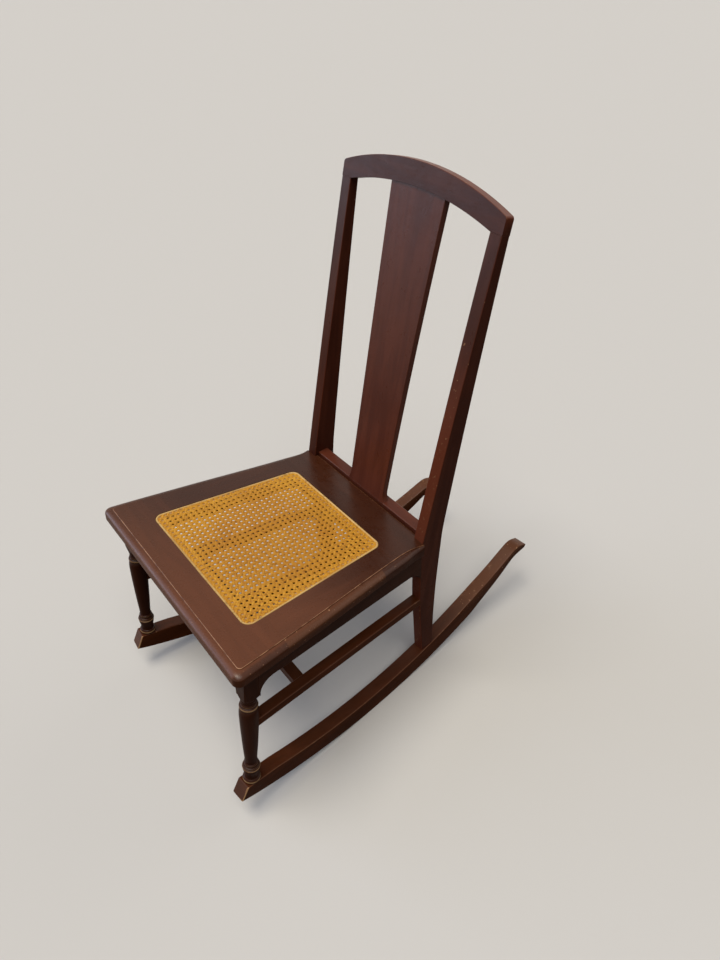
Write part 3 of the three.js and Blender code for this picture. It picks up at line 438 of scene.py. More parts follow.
class Nodes:
    """Short calls for building one material's node tree."""

    def __init__(self, name):
        self.material = bpy.data.materials.new(name)
        self.material.use_nodes = True
        self.tree = self.material.node_tree
        self.shader = self.tree.nodes["Principled BSDF"]

    def add(self, kind, **values):
        node = self.tree.nodes.new(kind)
        for key, value in values.items():
            setattr(node, key, value)
        return node

    def link(self, source, target):
        self.tree.links.new(source, target)

    def attribute(self, name, output):
        return self.add("ShaderNodeAttribute", attribute_name=name).outputs[output]

    def stretched(self, vector, scale):
        mapping = self.add("ShaderNodeMapping")
        mapping.inputs["Scale"].default_value = scale
        self.link(vector, mapping.inputs["Vector"])
        return mapping.outputs["Vector"]

    def noise(self, vector, scale=1.0, detail=4.0, roughness=0.55, distortion=0.0):
        node = self.add("ShaderNodeTexNoise")
        self.link(vector, node.inputs["Vector"])
        node.inputs["Scale"].default_value = scale
        node.inputs["Detail"].default_value = detail
        node.inputs["Roughness"].default_value = roughness
        node.inputs["Distortion"].default_value = distortion
        return node.outputs["Fac"]

    def ramp(self, value, low, high, to_low=0.0, to_high=1.0):
        node = self.add("ShaderNodeMapRange", interpolation_type="SMOOTHSTEP")
        self.link(value, node.inputs["Value"])
        node.inputs["From Min"].default_value = low
        node.inputs["From Max"].default_value = high
        node.inputs["To Min"].default_value = to_low
        node.inputs["To Max"].default_value = to_high
        return node.outputs["Result"]

    def math(self, operation, a, b):
        node = self.add("ShaderNodeMath", operation=operation)
        for socket, value in zip(node.inputs, (a, b)):
            if isinstance(value, (int, float)):
                socket.default_value = value
            else:
                self.link(value, socket)
        return node.outputs["Value"]

    def mix(self, factor, a, b):
        node = self.add("ShaderNodeMix", data_type="RGBA")
        sockets = {s.identifier: s for s in node.inputs}
        for key, value in (("Factor_Float", factor), ("A_Color", a), ("B_Color", b)):
            if isinstance(value, (int, float)):
                sockets[key].default_value = value
            elif isinstance(value, tuple):
                sockets[key].default_value = (*value, 1)
            else:
                self.link(value, sockets[key])
        return next(s for s in node.outputs if s.identifier == "Result_Color")

    def bump(self, height, distance, strength):
        node = self.add("ShaderNodeBump")
        node.inputs["Distance"].default_value = distance
        node.inputs["Strength"].default_value = strength
        self.link(height, node.inputs["Height"])
        return node.outputs["Normal"]

    def axes(self, vector):
        """The X, Y and Z outputs of a vector."""
        node = self.add("ShaderNodeSeparateXYZ")
        self.link(vector, node.inputs[0])
        return node.outputs

    def place(self):
        return self.add("ShaderNodeTexCoord").outputs["Object"]

    def facing(self):
        return self.add("ShaderNodeNewGeometry").outputs["Normal"]

    def set(self, **values):
        for key, value in values.items():
            self.shader.inputs[key.replace("_", " ")].default_value = value


def scaled(colour, share):
    return tuple(share * c for c in colour)


def stain(n, fibres, light, dark):
    """The colour and relief of stained wood: broad figure, fine streaks, open pores and dark clouds."""
    figure = n.noise(n.stretched(fibres, (6, 60, 60)), detail=4, distortion=0.5)
    streaks = n.noise(n.stretched(fibres, (16, 380, 380)), detail=3)
    pores = n.noise(n.stretched(fibres, (70, 1600, 1600)), detail=2)
    clouds = n.noise(fibres, scale=9, detail=3)
    colour = n.mix(n.ramp(figure, 0.3, 0.7), dark, light)
    colour = n.mix(n.ramp(streaks, 0.45, 0.8, 0, 0.35), colour, dark)
    colour = n.mix(n.ramp(pores, 0.58, 0.74, 0, 0.55), colour, scaled(dark, 0.4))
    colour = n.mix(n.ramp(clouds, 0.4, 0.75, 0, 0.4), colour, scaled(dark, 0.7))
    relief = n.math("SUBTRACT", n.math("MULTIPLY", streaks, 0.4), n.ramp(pores, 0.56, 0.75))
    return colour, relief


def paint_light_and_shade(n, colour, painted_light_falloff):
    """Paints light and shade into the colour: painted light before the first of two distances rearward,
    and leftward at half the rate, going over to painted shade after the second.

    Distances are in metres. Faces that are turned to the right get painted shade all along.
    """
    place = n.axes(n.place())
    # Painted light towards the front right, and painted shade towards the rear left and on faces turned to
    # the right.
    inward = n.math("SUBTRACT", place["Y"], n.math("MULTIPLY", place["X"], 0.5))
    painted_side_shade = n.ramp(n.axes(n.facing())["X"], 0.04, 0.4, 0, 0.75)
    shade = n.math("MAXIMUM", n.ramp(inward, *painted_light_falloff), painted_side_shade)
    return n.mix(shade, n.mix(0.22, colour, PAINTED_LIGHT), n.mix(0.5, colour, PAINTED_SHADE))


def wood(name, light, dark, amber, worn, roughness=0.34, gloss=(0.05, 0.15), from_object=False,
         painted_light_falloff=None, polished=None):
    """Dark stained wood with fine pores, uneven stain, and arrises rubbed through to paler wood.

    The wear attribute is 0 on faces, about 0.5 where the stain is thin, 1 on rubbed arrises, and 2 where
    the wood was never stained; on the crest's top it also carries a painted highlight. gloss is that of
    upright faces, then that of level ones, which hands and cloths have polished. Between the two heights
    in polished, in metres, the front faces get as glossy.
    """
    n = Nodes(name)
    fibres = n.place() if from_object else n.attribute("grain", "Vector")
    wear = n.attribute("wear", "Fac")
    colour, relief = stain(n, fibres, light, dark)
    # Painted light and painted shade on the seat, by place and by facing.
    if painted_light_falloff:
        colour = paint_light_and_shade(n, colour, painted_light_falloff)
    colour = n.mix(n.ramp(wear, 0.2, 0.8, 0, 0.85), colour, amber)
    patches = n.noise(fibres, scale=60, detail=6, roughness=0.7)
    rubbed = n.ramp(n.math("ADD", wear, n.math("MULTIPLY", patches, 1.6)), 1.5, 2.0)
    rubbed = n.math("MULTIPLY", rubbed, n.ramp(wear, 0.1, 0.4))
    colour = n.mix(rubbed, colour, worn)
    nicks = n.ramp(n.noise(fibres, scale=210, detail=2), 0.68, 0.72)
    colour = n.mix(n.math("MULTIPLY", nicks, n.ramp(wear, 0.1, 0.35, 0, 0.85)), colour, worn)
    colour = n.mix(n.ramp(wear, 1.4, 1.8), colour, BARE)
    n.link(colour, n.shader.inputs["Base Color"])
    uneven = n.ramp(patches, 0.2, 0.8, roughness - 0.05, roughness + 0.08)
    n.link(n.math("ADD", uneven, n.math("MULTIPLY", rubbed, 0.18)), n.shader.inputs["Roughness"])
    n.link(n.bump(relief, 0.00010, 0.5), n.shader.inputs["Normal"])
    n.link(sheen(n, gloss, polished), n.shader.inputs["Specular IOR Level"])
    return n.material


def sheen(n, gloss, polished):
    """The gloss of a face, by the way it faces and, where polished is given, by its height."""
    upright, level = gloss
    facing = n.axes(n.facing())
    shine = n.ramp(facing["Z"], 0.15, 0.6, upright, level)
    if polished:
        front = n.ramp(facing["Y"], -0.7, -0.3, 1, 0)
        raised = n.ramp(n.axes(n.place())["Z"], *polished, 0, level)
        shine = n.math("MAXIMUM", shine, n.math("MULTIPLY", front, raised))
    return shine


def screw_steel():
    """Dull steel with brown spots."""
    n = Nodes("screw_steel")
    spots = n.noise(n.place(), scale=900, detail=4)
    clean, stained = (0.34, 0.32, 0.30), (0.16, 0.12, 0.09)
    n.link(n.mix(n.ramp(spots, 0.35, 0.7), clean, stained), n.shader.inputs["Base Color"])
    n.link(n.ramp(spots, 0.3, 0.7, 0.32, 0.6), n.shader.inputs["Roughness"])
    n.link(n.bump(spots, 0.00004, 0.5), n.shader.inputs["Normal"])
    n.set(Metallic=1.0)
    return n.material


# ---- shared lines of the chair

def seat_top(y):
    return SEAT_HEIGHT - SEAT_SLOPE * y


def seat_bottom(y):
    return seat_top(y) - SEAT_THICKNESS / math.cos(SEAT_ANGLE)


def on_seat(x, along, up=0.0):
    """A point given on the tilted seat: across, along the slope from the front, and above its top."""
    return Vector((
        x,
        along * math.cos(SEAT_ANGLE) + up * math.sin(SEAT_ANGLE),
        SEAT_HEIGHT - along * math.sin(SEAT_ANGLE) + up * math.cos(SEAT_ANGLE),
    ))


def along_seat(y):
    return y / math.cos(SEAT_ANGLE)


def above_bend(curve, z):
    """The value at a height of a curve that is given at the bend."""
    start, slope, curvature = curve
    return start + slope * (z - BEND) + curvature * (z - BEND) ** 2


def post_front_high(z):
    return above_bend(POST_CURVE, z)


def post_rear_high(z):
    return post_front_high(z) + POST_DEPTH - POST_TAPER * (z - BEND)


def post_inner(z):
    return POST_INNER + POST_SPLAY * max(0, z - BEND)


post_front = reader((*POST_FRONT_LOW, *((z, post_front_high(z)) for z in steps(340, 850, 6))))
post_rear = reader((*POST_REAR_LOW, *((z, post_rear_high(z)) for z in steps(400, 850, 6))))


def splat_half(z):
    flare = SPLAT_FLARE * max(0, 1 - (z - SHOE_TOP) / SPLAT_FLARE_HEIGHT) ** 2
    return above_bend(SPLAT_HALF, z) + flare


def leg_y(z):
    return LEG_FOOT[0] + LEG_LEAN * (z - LEG_FOOT[1])


def apron_outer(y):
    front = LEG_X + LEG_BLOCK / 2 - APRON_SETBACK
    rear = POST_INNER + POST_WIDTH
    return front + (rear - front) * (y - APRON_FRONT_Y) / (APRON_REAR_Y - APRON_FRONT_Y)


def rocker_x(y):
    return ROCKER_X - ROCKER_TOE * y


def arc_z(y, radius=ARC):
    return ARC - math.sqrt(radius**2 - (y - ARC_Y) ** 2)


def rocker_top(y):
    return arc_z(y, ARC - ROCKER_DEPTH)


POST_X = POST_INNER + POST_WIDTH / 2
CREST_SLOPE = (post_front_high(POST_TOP + 20) - post_front_high(POST_TOP - 20)) / 40


def stretcher_x(y):
    front = leg_y(STRETCHER_FRONT_Z)
    return LEG_X + (POST_X - LEG_X) * (y - front) / (STRETCHER_REAR_Y - front)


def stretcher_top(y):
    return STRETCHER_TOP - STRETCHER_FALL * y


# ---- rockers, posts and legs

def rocker_edges():
    """Pairs of points on the rocker's lower and upper edge, as (y, z), from nose to tail."""
    pairs = []
    top_y, top_z = NOSE_TOP
    for t in steps(0, 1, 4)[:-1]:
        low = -NOSE_REACH + t * (NOSE_END_LOW + NOSE_REACH)
        high = (top_y + t * (NOSE_END_HIGH - top_y), top_z + t * (rocker_top(NOSE_END_HIGH) - top_z))
        pairs.append(((low, arc_z(low)), high))
    for y in steps(NOSE_END_LOW, TAIL_START, 24):
        angle = math.asin((y - ARC_Y) / ARC)
        inner = ARC - ROCKER_DEPTH
        pairs.append(((y, arc_z(y)), (ARC_Y + inner * math.sin(angle), ARC - inner * math.cos(angle))))
    under, over = reader(TAIL_UNDER), reader(TAIL_TOP)
    end = TAIL_TIP[0][0]
    lag = TAIL_START - pairs[-1][1][0]
    for y in (505, 520, 536, 552, 568, 584, 600, 614, 626, 636, 645, 652, 657, 661):
        back = y - lag * (end - y) / (end - TAIL_START)
        high = arc_z(back) + over(back) if back > TAIL_TOP[0][0] else rocker_top(back)
        pairs.append(((y, arc_z(y) + under(y)), (back, high)))
    for low_y, low, high_y, high in TAIL_TIP:
        pairs.append(((low_y, arc_z(low_y) + low), (high_y, arc_z(high_y) + high)))
    return pairs


def rocker_wear(side):
    """Arrises rubbed pale, most on the outside, the tail's top worn paler, and the nose's right edge bare.
    """
    nose = ((NOSE_TOP[0] - NOSE_REACH) / 2, (NOSE_TOP[1] + arc_z(-NOSE_REACH)) / 2)

    def wear(arris, centre, across, up):
        outer = side * across > 0
        if centre.y < nose[0] + 2:
            on_end_face = arris == 0 and centre.y < nose[0] + 0.05
            on_top = up > 0 and abs(across) < ROCKER_WIDTH / 2 - ROCKER_ROUND + 0.05
            if across < 0 or on_end_face or on_top:
                return 0.1
            return 1.9 if up < 0 else 1.6
        worn = arris * (0.65 if outer and up > 0 else 0.35)
        if up > 0:
            worn = max(worn, 0.62 * min(1, max(0, centre.y - 400) / 120))
        return worn
    return wear


def rocker(name, side, material, seed):
    stations = []
    across = Vector((1, side * ROCKER_TOE, 0))
    edges = rocker_edges()
    # One more station just behind the nose, where the bare wood ends.
    (low_y, low_z), (high_y, high_z) = edges[0]
    edges.insert(1, ((low_y + 3.2, low_z - 0.7), (high_y + 3.2, high_z - 0.5)))
    for (y0, z0), (y1, z1) in edges:
        low, high = Vector((0, y0, z0)), Vector((0, y1, z1))
        centre, depth = (low + high) / 2, high - low
        centre.x = side * rocker_x(centre.y)
        stations.append((centre, across, depth.normalized(), ROCKER_WIDTH / 2, depth.length / 2))
    shape, wear = bar(stations, ROCKER_ROUND, rocker_wear(side), round_start=1.2)
    wooden(f"rocker_{name}", shape, material, Y, wear, seed)


def post_wear(side):
    """Chipped front arrises, and on the right post a front face paler than the rest, ever less near the
    top.
    """
    def wear(arris, centre, across, up):
        if up > 0:
            return 0.15 * arris
        rubbed = 0.55 * min(1, max(0, 760 - centre.z) / 200) if side > 0 else 0.1
        if arris:
            return max(0.45, rubbed)
        return rubbed if abs(across) < POST_WIDTH / 2 - 1 else 0.0
    return wear


def rear_post(name, side, material, seed):
    stations = []
    for z in (*steps(47, 310, 14), *steps(330, POST_TOP, 22)):
        front, rear = post_front(z), post_rear(z)
        x = side * (post_inner(z) + POST_WIDTH / 2)
        stations.append((Vector((x, (front + rear) / 2, z)), X, Y, POST_WIDTH / 2, (rear - front) / 2))
    shape, wear = bar(stations, 1.4, post_wear(side))
    # The foot follows the rocker, and the top is cut square to the crest.
    front = post_front(POST_TOP)
    rear_slope = CREST_SLOPE - POST_TAPER
    drop = CREST_SLOPE / (1 + CREST_SLOPE * rear_slope)
    for point in shape[0]:
        if point.z < 50:
            point.z = rocker_top(point.y) + 0.1
        if point.z > POST_TOP - 0.01:
            fall = drop * (point.y - front)
            point.z -= fall
            point.y -= rear_slope * fall
    wooden(f"rear_post_{name}", shape, material, (0, 0.2, 1), wear, seed)


def leg_section(radius, square):
    """One ring of the leg: round, and where it is square, cut off by the faces of the block."""
    half = LEG_BLOCK / 2
    corner = math.hypot(half - LEG_BLOCK_ROUND, half - LEG_BLOCK_ROUND) + LEG_BLOCK_ROUND
    ring = []
    for i in range(LEG_SEGMENTS):
        angle = 2 * math.pi * (i + 0.5) / LEG_SEGMENTS
        x, y = math.cos(angle), math.sin(angle)
        r = min(radius, corner, half / max(abs(x), abs(y))) if square else radius
        ring.append((r * x, r * y))
    return ring


def leg_outline():
    """The leg's outline as (height, radius); the block's radius only has to reach past its corners."""
    shoulder = [(BLOCK_BOTTOM + 9 * t, 11.4 + 8 * t**1.6) for t in steps(0.1, 1, 7)]
    block = [(height, LEG_BLOCK) for height in steps(BLOCK_BOTTOM + 12, LEG_LENGTH, 5)]
    return [*LEG_FOOT_TURNING, *spline(LEG_VASE, 5), *LEG_NECK_TURNING, *shoulder, *block]


def front_leg(name, side, material, seed):
    turn = Matrix.Rotation(-math.atan(LEG_LEAN), 3, "X")
    foot = Vector((side * LEG_X, *LEG_FOOT))
    rows, wear = [], []
    for height, radius in leg_outline():
        section = leg_section(radius, square=height > BLOCK_BOTTOM)
        rows.append([foot + turn @ Vector((x, y, height)) for x, y in section])
        wear += [1.1 if height in LEG_BEADS else 0.1] * len(section)
    for point in rows[-1]:
        point.z = seat_bottom(point.y)
    wooden(f"front_leg_{name}", sweep(rows), material, Z, wear, seed)


# ---- back

def arch(half, rise, x):
    """The height at x of a flat arc of a given half width and rise."""
    radius = (half**2 + rise**2) / (2 * rise)
    return math.sqrt(radius**2 - x**2) - radius + rise


def crest_edges(x):
    """The heights of the crest's lower and upper edge."""
    reach = abs(x)
    inner = post_inner(POST_TOP)
    low = POST_TOP + 0.05 + (arch(inner, CREST_RISE, reach) if reach < inner else 0)
    high = CREST_SHOULDER + arch(CREST_HALF, CREST_TOP - CREST_SHOULDER, reach)
    over = reach - (CREST_HALF - CREST_CORNER)
    if over > 0:
        high -= CREST_CORNER - math.sqrt(max(0, CREST_CORNER**2 - over**2))
    return low, high


def crest_rail(material, seed):
    end = [CREST_HALF - CREST_CORNER * (1 - math.sin(math.radians(a))) for a in (15, 30, 45, 60, 75, 90)]
    right = [*steps(0, 140, 14), 146, 148.3, 150, 156, *end]
    rows, wear = [], []
    lean = Vector((0, CREST_SLOPE, 1)).normalized()
    back = Vector((0, 1, -CREST_SLOPE)).normalized()
    for x in [-x for x in right[:0:-1]] + right:
        low, high = crest_edges(x)
        z = (low + high) / 2
        front = post_front_high(POST_TOP) + CREST_SLOPE * (z - POST_TOP)
        middle = Vector((x, front, z)) + back * (CREST_DEPTH / 2)
        half = (high - low) / 2 / lean.z
        row = []
        for across, up, worn in rounded_section(CREST_DEPTH / 2, half, 1.1, 0.4, 4):
            row.append(middle + back * across + lean * up)
            # The top face is coloured paler amber: partly a rubbed finish, partly a painted highlight for
            # the sheen along the top.
            wear.append(0.6 if up > half - 0.5 else 0.3 * worn)
        rows.append(row)
    wooden("crest_rail", sweep(rows), material, X, wear, seed)


def splat(material, seed):
    stations = []
    for z in (333, 336, 339, 343, 348, 354, *steps(362, 836, 24)):
        centre = Vector((0, above_bend(SPLAT_CURVE, z) + SPLAT_THICKNESS / 2, z))
        stations.append((centre, X, Y, splat_half(z), SPLAT_THICKNESS / 2))
    shape, wear = bar(stations, 1.0, 0.25)
    wooden("splat", shape, material, (0, 0.25, 1), wear, seed)


def rear_rail(material, seed):
    """The rail under the back, with both edges of its top rounded and the rear one a little lower."""
    front, rear = [], []
    for a in steps(0, math.pi / 2, 3):
        inward, down = RAIL_FRONT_ROUND * (1 - math.cos(a)), RAIL_FRONT_ROUND * (1 - math.sin(a))
        front.append((RAIL_FRONT + inward, SHOE_TOP - down))
    for a in steps(0, math.pi / 2, 4):
        inward, down = RAIL_REAR_ROUND * (1 - math.sin(a)), RAIL_REAR_ROUND * (1 - math.cos(a))
        rear.append((RAIL_REAR - inward, SHOE_TOP - 0.4 - down))
    outline = [
        (RAIL_FRONT, RAIL_BOTTOM + 1), *front, *rear, (RAIL_REAR, RAIL_BOTTOM + 1),
        (RAIL_REAR - 1, RAIL_BOTTOM), (RAIL_FRONT + 1, RAIL_BOTTOM),
    ]
    half = POST_INNER + 0.4
    rows = [[Vector((x, y, z)) for y, z in outline] for x in steps(-half, half, 12)]
    wear = [0.5 if point in front[1:3] else 0.0 for point in outline] * len(rows)
    wooden("rear_rail", sweep(rows), material, X, wear, seed)


# ---- seat

# The seat's moulded edge, as (outward, downward, wear).
MOULDING = (
    (0.0, 0.0, 0.0), (0.3, 0.05, 1.0), (0.75, 0.4, 1.0), (0.95, 1.2, 0.6), (1.2, 1.7, 0.0),
    (2.2, 1.75, 0.1), (4.0, 1.9, 0.15), (6.5, 2.4, 0.2), (9.0, 3.4, 0.25), (11.0, 4.8, 0.25),
    (12.3, 6.5, 0.25), (12.85, 8.3, 0.2), (12.95, 10.0, 0.1), (12.95, 20.4, 0.0), (12.6, 21.4, 0.4),
    (11.6, 22.0, 0.0),
)
# The seat's opening, as (inward, downward, wear): its eased edge, the reed's groove, the cane's ledge.
OPENING = (
    (-0.5, 0.0, 0.0), (-0.1, 0.15, 0.5), (0.0, 0.6, 0.2), (0.0, 2.4, 2.0), (GROOVE, 2.4, 2.0),
    (GROOVE + CANE_LAND - 1.5, 2.6, 2.0), (GROOVE + CANE_LAND, 4.2, 2.0),
    (GROOVE + CANE_LAND, SEAT_THICKNESS, 0.0),
)


def moulding_share(y):
    """How much of the moulding's width is left: it narrows to almost nothing where it meets the post."""
    return 1 - 0.82 * min(1, max(0, y - 318) / 49) ** 1.5


def seat_outline(out):
    """A loop at a distance outside the flat top, from the front centre round the right side."""
    edge = [(x + out * moulding_share(y), along_seat(y)) for y, x in spline(SEAT_EDGE, 4)]
    corner = (edge[0][0] + 0.13 * out, -out)
    arc = round_corner((0, -out), corner, edge[4], SEAT_CORNER + 0.5 * out, 10)
    right = [(arc[0][0] * t, -out) for t in (0.0, 0.25, 0.5, 0.75)] + arc
    right += [p for p in edge[2:] if p[1] > 16]
    rear = along_seat(SEAT_REAR) + min(out, 4.3)
    right += [(POST_INNER + 8, edge[-1][1]), (POST_INNER + 0.3, rear)]
    right += [(POST_INNER * 0.5, rear), (0.0, rear)]
    left = [(-x, y) for x, y in right[-2:0:-1]]
    return right + left


def cane_outline(inset, count=8):
    """A loop at a distance inside the edge of the seat's opening."""
    front, rear = along_seat(CANE_FRONT) + inset, along_seat(CANE_REAR) - inset
    a, b = (-CANE_HALF_FRONT + inset, front), (CANE_HALF_FRONT - inset, front)
    c, d = (CANE_HALF_REAR - inset, rear), (-CANE_HALF_REAR + inset, rear)
    radius = max(CANE_CORNER - inset, 2.5)
    loop = []
    for before, corner, after in ((a, b, c), (b, c, d), (c, d, a), (d, a, b)):
        loop += round_corner(before, corner, after, radius, count)
    return loop


def seat_solid():
    """The whole moulded frame as one bmesh, in seat coordinates: (across, along, up)."""
    made = bmesh.new()
    wear_layer = made.verts.layers.float.new("wear")

    def loop(points, down, worn):
        row = []
        for x, y in points:
            vert = made.verts.new((x, y, -down))
            vert[wear_layer] = worn
            row.append(vert)
        return row

    def wall(a, b):
        for i in range(len(a)):
            j = (i + 1) % len(a)
            made.faces.new((a[i], a[j], b[j], b[i]))

    outer = [loop(seat_outline(out), down, worn) for out, down, worn in MOULDING]
    inner = [loop(cane_outline(inset), down, worn) for inset, down, worn in OPENING]
    for rows in (outer, inner):
        for a, b in zip(rows, rows[1:]):
            wall(a, b)
    fill_between(made, outer[0], inner[0])
    fill_between(made, outer[-1], inner[-1])
    bmesh.ops.recalc_face_normals(made, faces=made.faces)
    return made


def fill_between(made, outer, inner):
    """Triangles between two loops that lie in one plane."""
    loops = [[v.co.to_2d().to_3d() for v in row] for row in (outer, inner)]
    rows = outer + inner
    for a, b, c in geometry.tessellate_polygon(loops):
        made.faces.new((rows[a], rows[b], rows[c]))


def cut_off(made, place, normal):
    """Keeps the part of a closed mesh behind a plane, and closes the cut."""
    parts = made.verts[:] + made.edges[:] + made.faces[:]
    cut = bmesh.ops.bisect_plane(
        made, geom=parts, plane_co=place, plane_no=normal, clear_outer=True, clear_inner=False)
    edges = [e for e in cut["geom_cut"] if isinstance(e, bmesh.types.BMEdge)]
    bmesh.ops.holes_fill(made, edges=edges, sides=0)


def split_at(made, along):
    """Adds a line of vertices across the boards, so that the wear on one side of it stops there."""
    parts = made.verts[:] + made.edges[:] + made.faces[:]
    bmesh.ops.bisect_plane(made, geom=parts, plane_co=(0, along, 0), plane_no=(0, 1, 0))


def seat_board(name, cuts, grain, material, seed, hollow_wear=0.0):
    """One board, left of the seat's frame by cuts at (point, direction of what is cut off).

    hollow_wear is added on the moulding's slope.
    """
    made = seat_solid()
    for place, normal in cuts:
        if normal[1]:
            split_at(made, place[1] - 1.2 * normal[1])
    for place, normal in cuts:
        cut_off(made, place, normal)
    bmesh.ops.recalc_face_normals(made, faces=made.faces)
    layer = made.verts.layers.float["wear"]
    made.verts.index_update()
    wear = []
    for v in made.verts:
        in_hollow = 0 < v[layer] < 0.5 and v.co.z < -1.7
        wear.append(v[layer] + (hollow_wear if in_hollow else 0.0))
    points = [on_seat(*v.co) for v in made.verts]
    faces = [tuple(v.index for v in f.verts) for f in made.faces]
    made.free()
    wooden(name, (points, faces), material, grain, wear, seed)


def seat_boards(material):
    front, rear = along_seat(FRONT_JOINT), along_seat(REAR_JOINT)
    gap = 0.03
    seat_board("seat_front_board", [((0, front - gap, 0), Y)], X, material, 11)
    seat_board("seat_rear_board", [((0, rear + gap, 0), -Y)], X, material, 12)
    for name, side in SIDES:
        cuts = [((0, front + gap, 0), -Y), ((0, rear - gap, 0), Y), ((0, 0, 0), -side * X)]
        seat_board(f"seat_side_board_{name}", cuts, Y, material, 13 + side, 0.35 if side > 0 else 0.0)


# ---- cane

def clip_line(start, direction, polygon):
    """The stretch of a line inside a convex anticlockwise loop, as two distances along it, or None."""
    low, high = -math.inf, math.inf
    for a, b in zip(polygon, polygon[1:] + polygon[:1]):
        inward = Vector((a[1] - b[1], b[0] - a[0]))
        rate, depth = inward.dot(direction), inward.dot(start - Vector(a))
        if abs(rate) < 1e-9:
            if depth < 0:
                return None
            continue
        crossing = -depth / rate
        if rate > 0:
            low = max(low, crossing)
        else:
            high = min(high, crossing)
    return (low, high) if high - low > 2 else None


def strand(start, direction, reach, height, step, width):
    """Rows of points of one flat strand with a rounded top, whose height follows a function."""
    low, high = reach
    side = Vector((-direction.y, direction.x))
    half, crown = width / 2, STRAND_THICKNESS
    shoulder = (half * 0.8, crown * 0.7)
    section = ((-half, 0.0), (-shoulder[0], shoulder[1]), (0.0, crown), shoulder, (half, 0.0))
    rows = []
    for s in steps(low, high, max(2, round((high - low) / step))):
        p = start + direction * s
        z = height(s)
        rows.append([on_seat(p.x + side.x * a, p.y + side.y * a, z + b) for a, b in section])
    return rows


def weave(name, strands, material, seed):
    """One piece of many strands. Each strand keeps one tone of its own in the wear attribute."""
    chance = random.Random(seed)
    points, faces, tones = [], [], []
    for rows in strands:
        base = len(points)
        count = len(rows[0])
        for row in rows:
            points += row
        tones += [chance.random()] * (len(rows) * count)
        for r in range(len(rows) - 1):
            for i in range(count):
                j = (i + 1) % count
                a, b = base + r * count, base + (r + 1) * count
                faces.append((a + i, b + i, b + j, a + j))
        faces.append(tuple(base + i for i in range(count)))
        end = base + (len(rows) - 1) * count
        faces.append(tuple(end + i for i in range(count))[::-1])
    make_piece(name, points, faces, material, "cane", ["cane_sheet"], Y, tones, seed)


def woven(phase):
    """Up on one side of each crossing pair and down on the other, and level in between."""
    def height(s):
        off = CANE_PITCH * ((s / CANE_PITCH + 0.5) % 1 - 0.5)
        rise = math.sin(math.pi / 2 * off / TWIN_OFFSET) if abs(off) < 2.2 * TWIN_OFFSET else 0.0
        return CANE_LEVEL + phase * WEAVE_RISE * rise
    return height


def diagonal(phase):
    wave = math.pi * math.sqrt(2) / CANE_PITCH
    return lambda s: CANE_LEVEL + phase * DIAGONAL_RISE * math.cos(wave * s)


def cane_panel(material):
    """Pairs of uprights and cross strands, plain woven, and one strand each way on the diagonals."""
    pitch = CANE_PITCH
    edge = cane_outline(SPLINE_WIDTH - 1.2)
    middle = along_seat((CANE_FRONT + CANE_REAR) / 2)
    uprights, crosses, rising, falling = [], [], [], []

    def lay(group, start, direction, height, step, width=STRAND_WIDTH):
        span = clip_line(start, direction, edge)
        if span:
            group.append(strand(start, direction, span, height, step, width))

    for k in range(-18, 19):
        for twin in (-1, 1):
            across = (k + 0.5) * pitch + twin * TWIN_OFFSET
            lay(uprights, Vector((across, middle + pitch / 2)), Vector((0, 1)), woven(twin), pitch / 6)
            lay(crosses, Vector((pitch / 2, middle + across)), Vector((1, 0)), woven(-twin), pitch / 6)
    for k in range(-36, 37):
        start = Vector(((k + 0.5) * pitch, middle))
        for lean, group in ((1, rising), (-1, falling)):
            direction = Vector((lean, 1)).normalized()
            lay(group, start, direction, diagonal(lean), pitch / 4.24, STRAND_WIDTH * 0.98)
    weave("cane_uprights", uprights, material, 1)
    weave("cane_crosses", crosses, material, 2)
    weave("cane_rising_diagonals", rising, material, 3)
    weave("cane_falling_diagonals", falling, material, 4)


def cane_spline(material):
    # The reed's section, as (inset, up).
    section = (
        (0.3, -2.5), (0.4, -1.1), (0.9, -0.3), (1.9, 0.05),
        (2.9, -0.2), (3.6, -0.8), (3.9, -1.6), (3.9, -2.5),
    )
    loops = [[on_seat(x, y, up) for x, y in cane_outline(inset, 10)] for inset, up in section]
    points, faces = sweep(list(zip(*loops)), closed_path=True)
    make_piece("cane_spline_reed", points, faces, material, "cane", ["cane_spline"], Y, None, 5.0)


def cane_material(name, light, dark, aged):
    """Cane whose strands differ between light and dark, browner in spots and where it is sat on."""
    n = Nodes(name)
    place = n.attribute("grain", "Vector")
    tone = n.attribute("wear", "Fac")
    clouds = n.noise(place, scale=13, detail=3)
    fine = n.noise(place, scale=320, detail=3)
    spots = n.noise(place, scale=110, detail=4, roughness=0.7)
    from_middle = n.add("ShaderNodeVectorMath", operation="DISTANCE")
    n.link(n.place(), from_middle.inputs[0])
    from_middle.inputs[1].default_value = to_row((0, (CANE_FRONT + CANE_REAR) / 2, SEAT_HEIGHT - 20))
    sat_on = n.ramp(from_middle.outputs["Value"], 0.07, 0.15, 0.5, 0.0)
    colour = n.mix(n.ramp(tone, 0.0, 1.0, 0.0, 0.8), light, dark)
    colour = n.mix(sat_on, colour, aged)
    colour = n.mix(n.ramp(fine, 0.35, 0.7, 0, 0.7), colour, dark)
    colour = n.mix(n.ramp(clouds, 0.42, 0.68, 0, 0.6), colour, aged)
    colour = n.mix(n.ramp(spots, 0.52, 0.70, 0, 0.7), colour, scaled(aged, 0.5))
    n.link(colour, n.shader.inputs["Base Color"])
    n.link(n.ramp(fine, 0.2, 0.8, 0.30, 0.48), n.shader.inputs["Roughness"])
    n.link(n.bump(fine, 0.00008, 0.5), n.shader.inputs["Normal"])
    n.set(Specular_IOR_Level=0.3)
    return n.material


# ---- aprons and stretchers

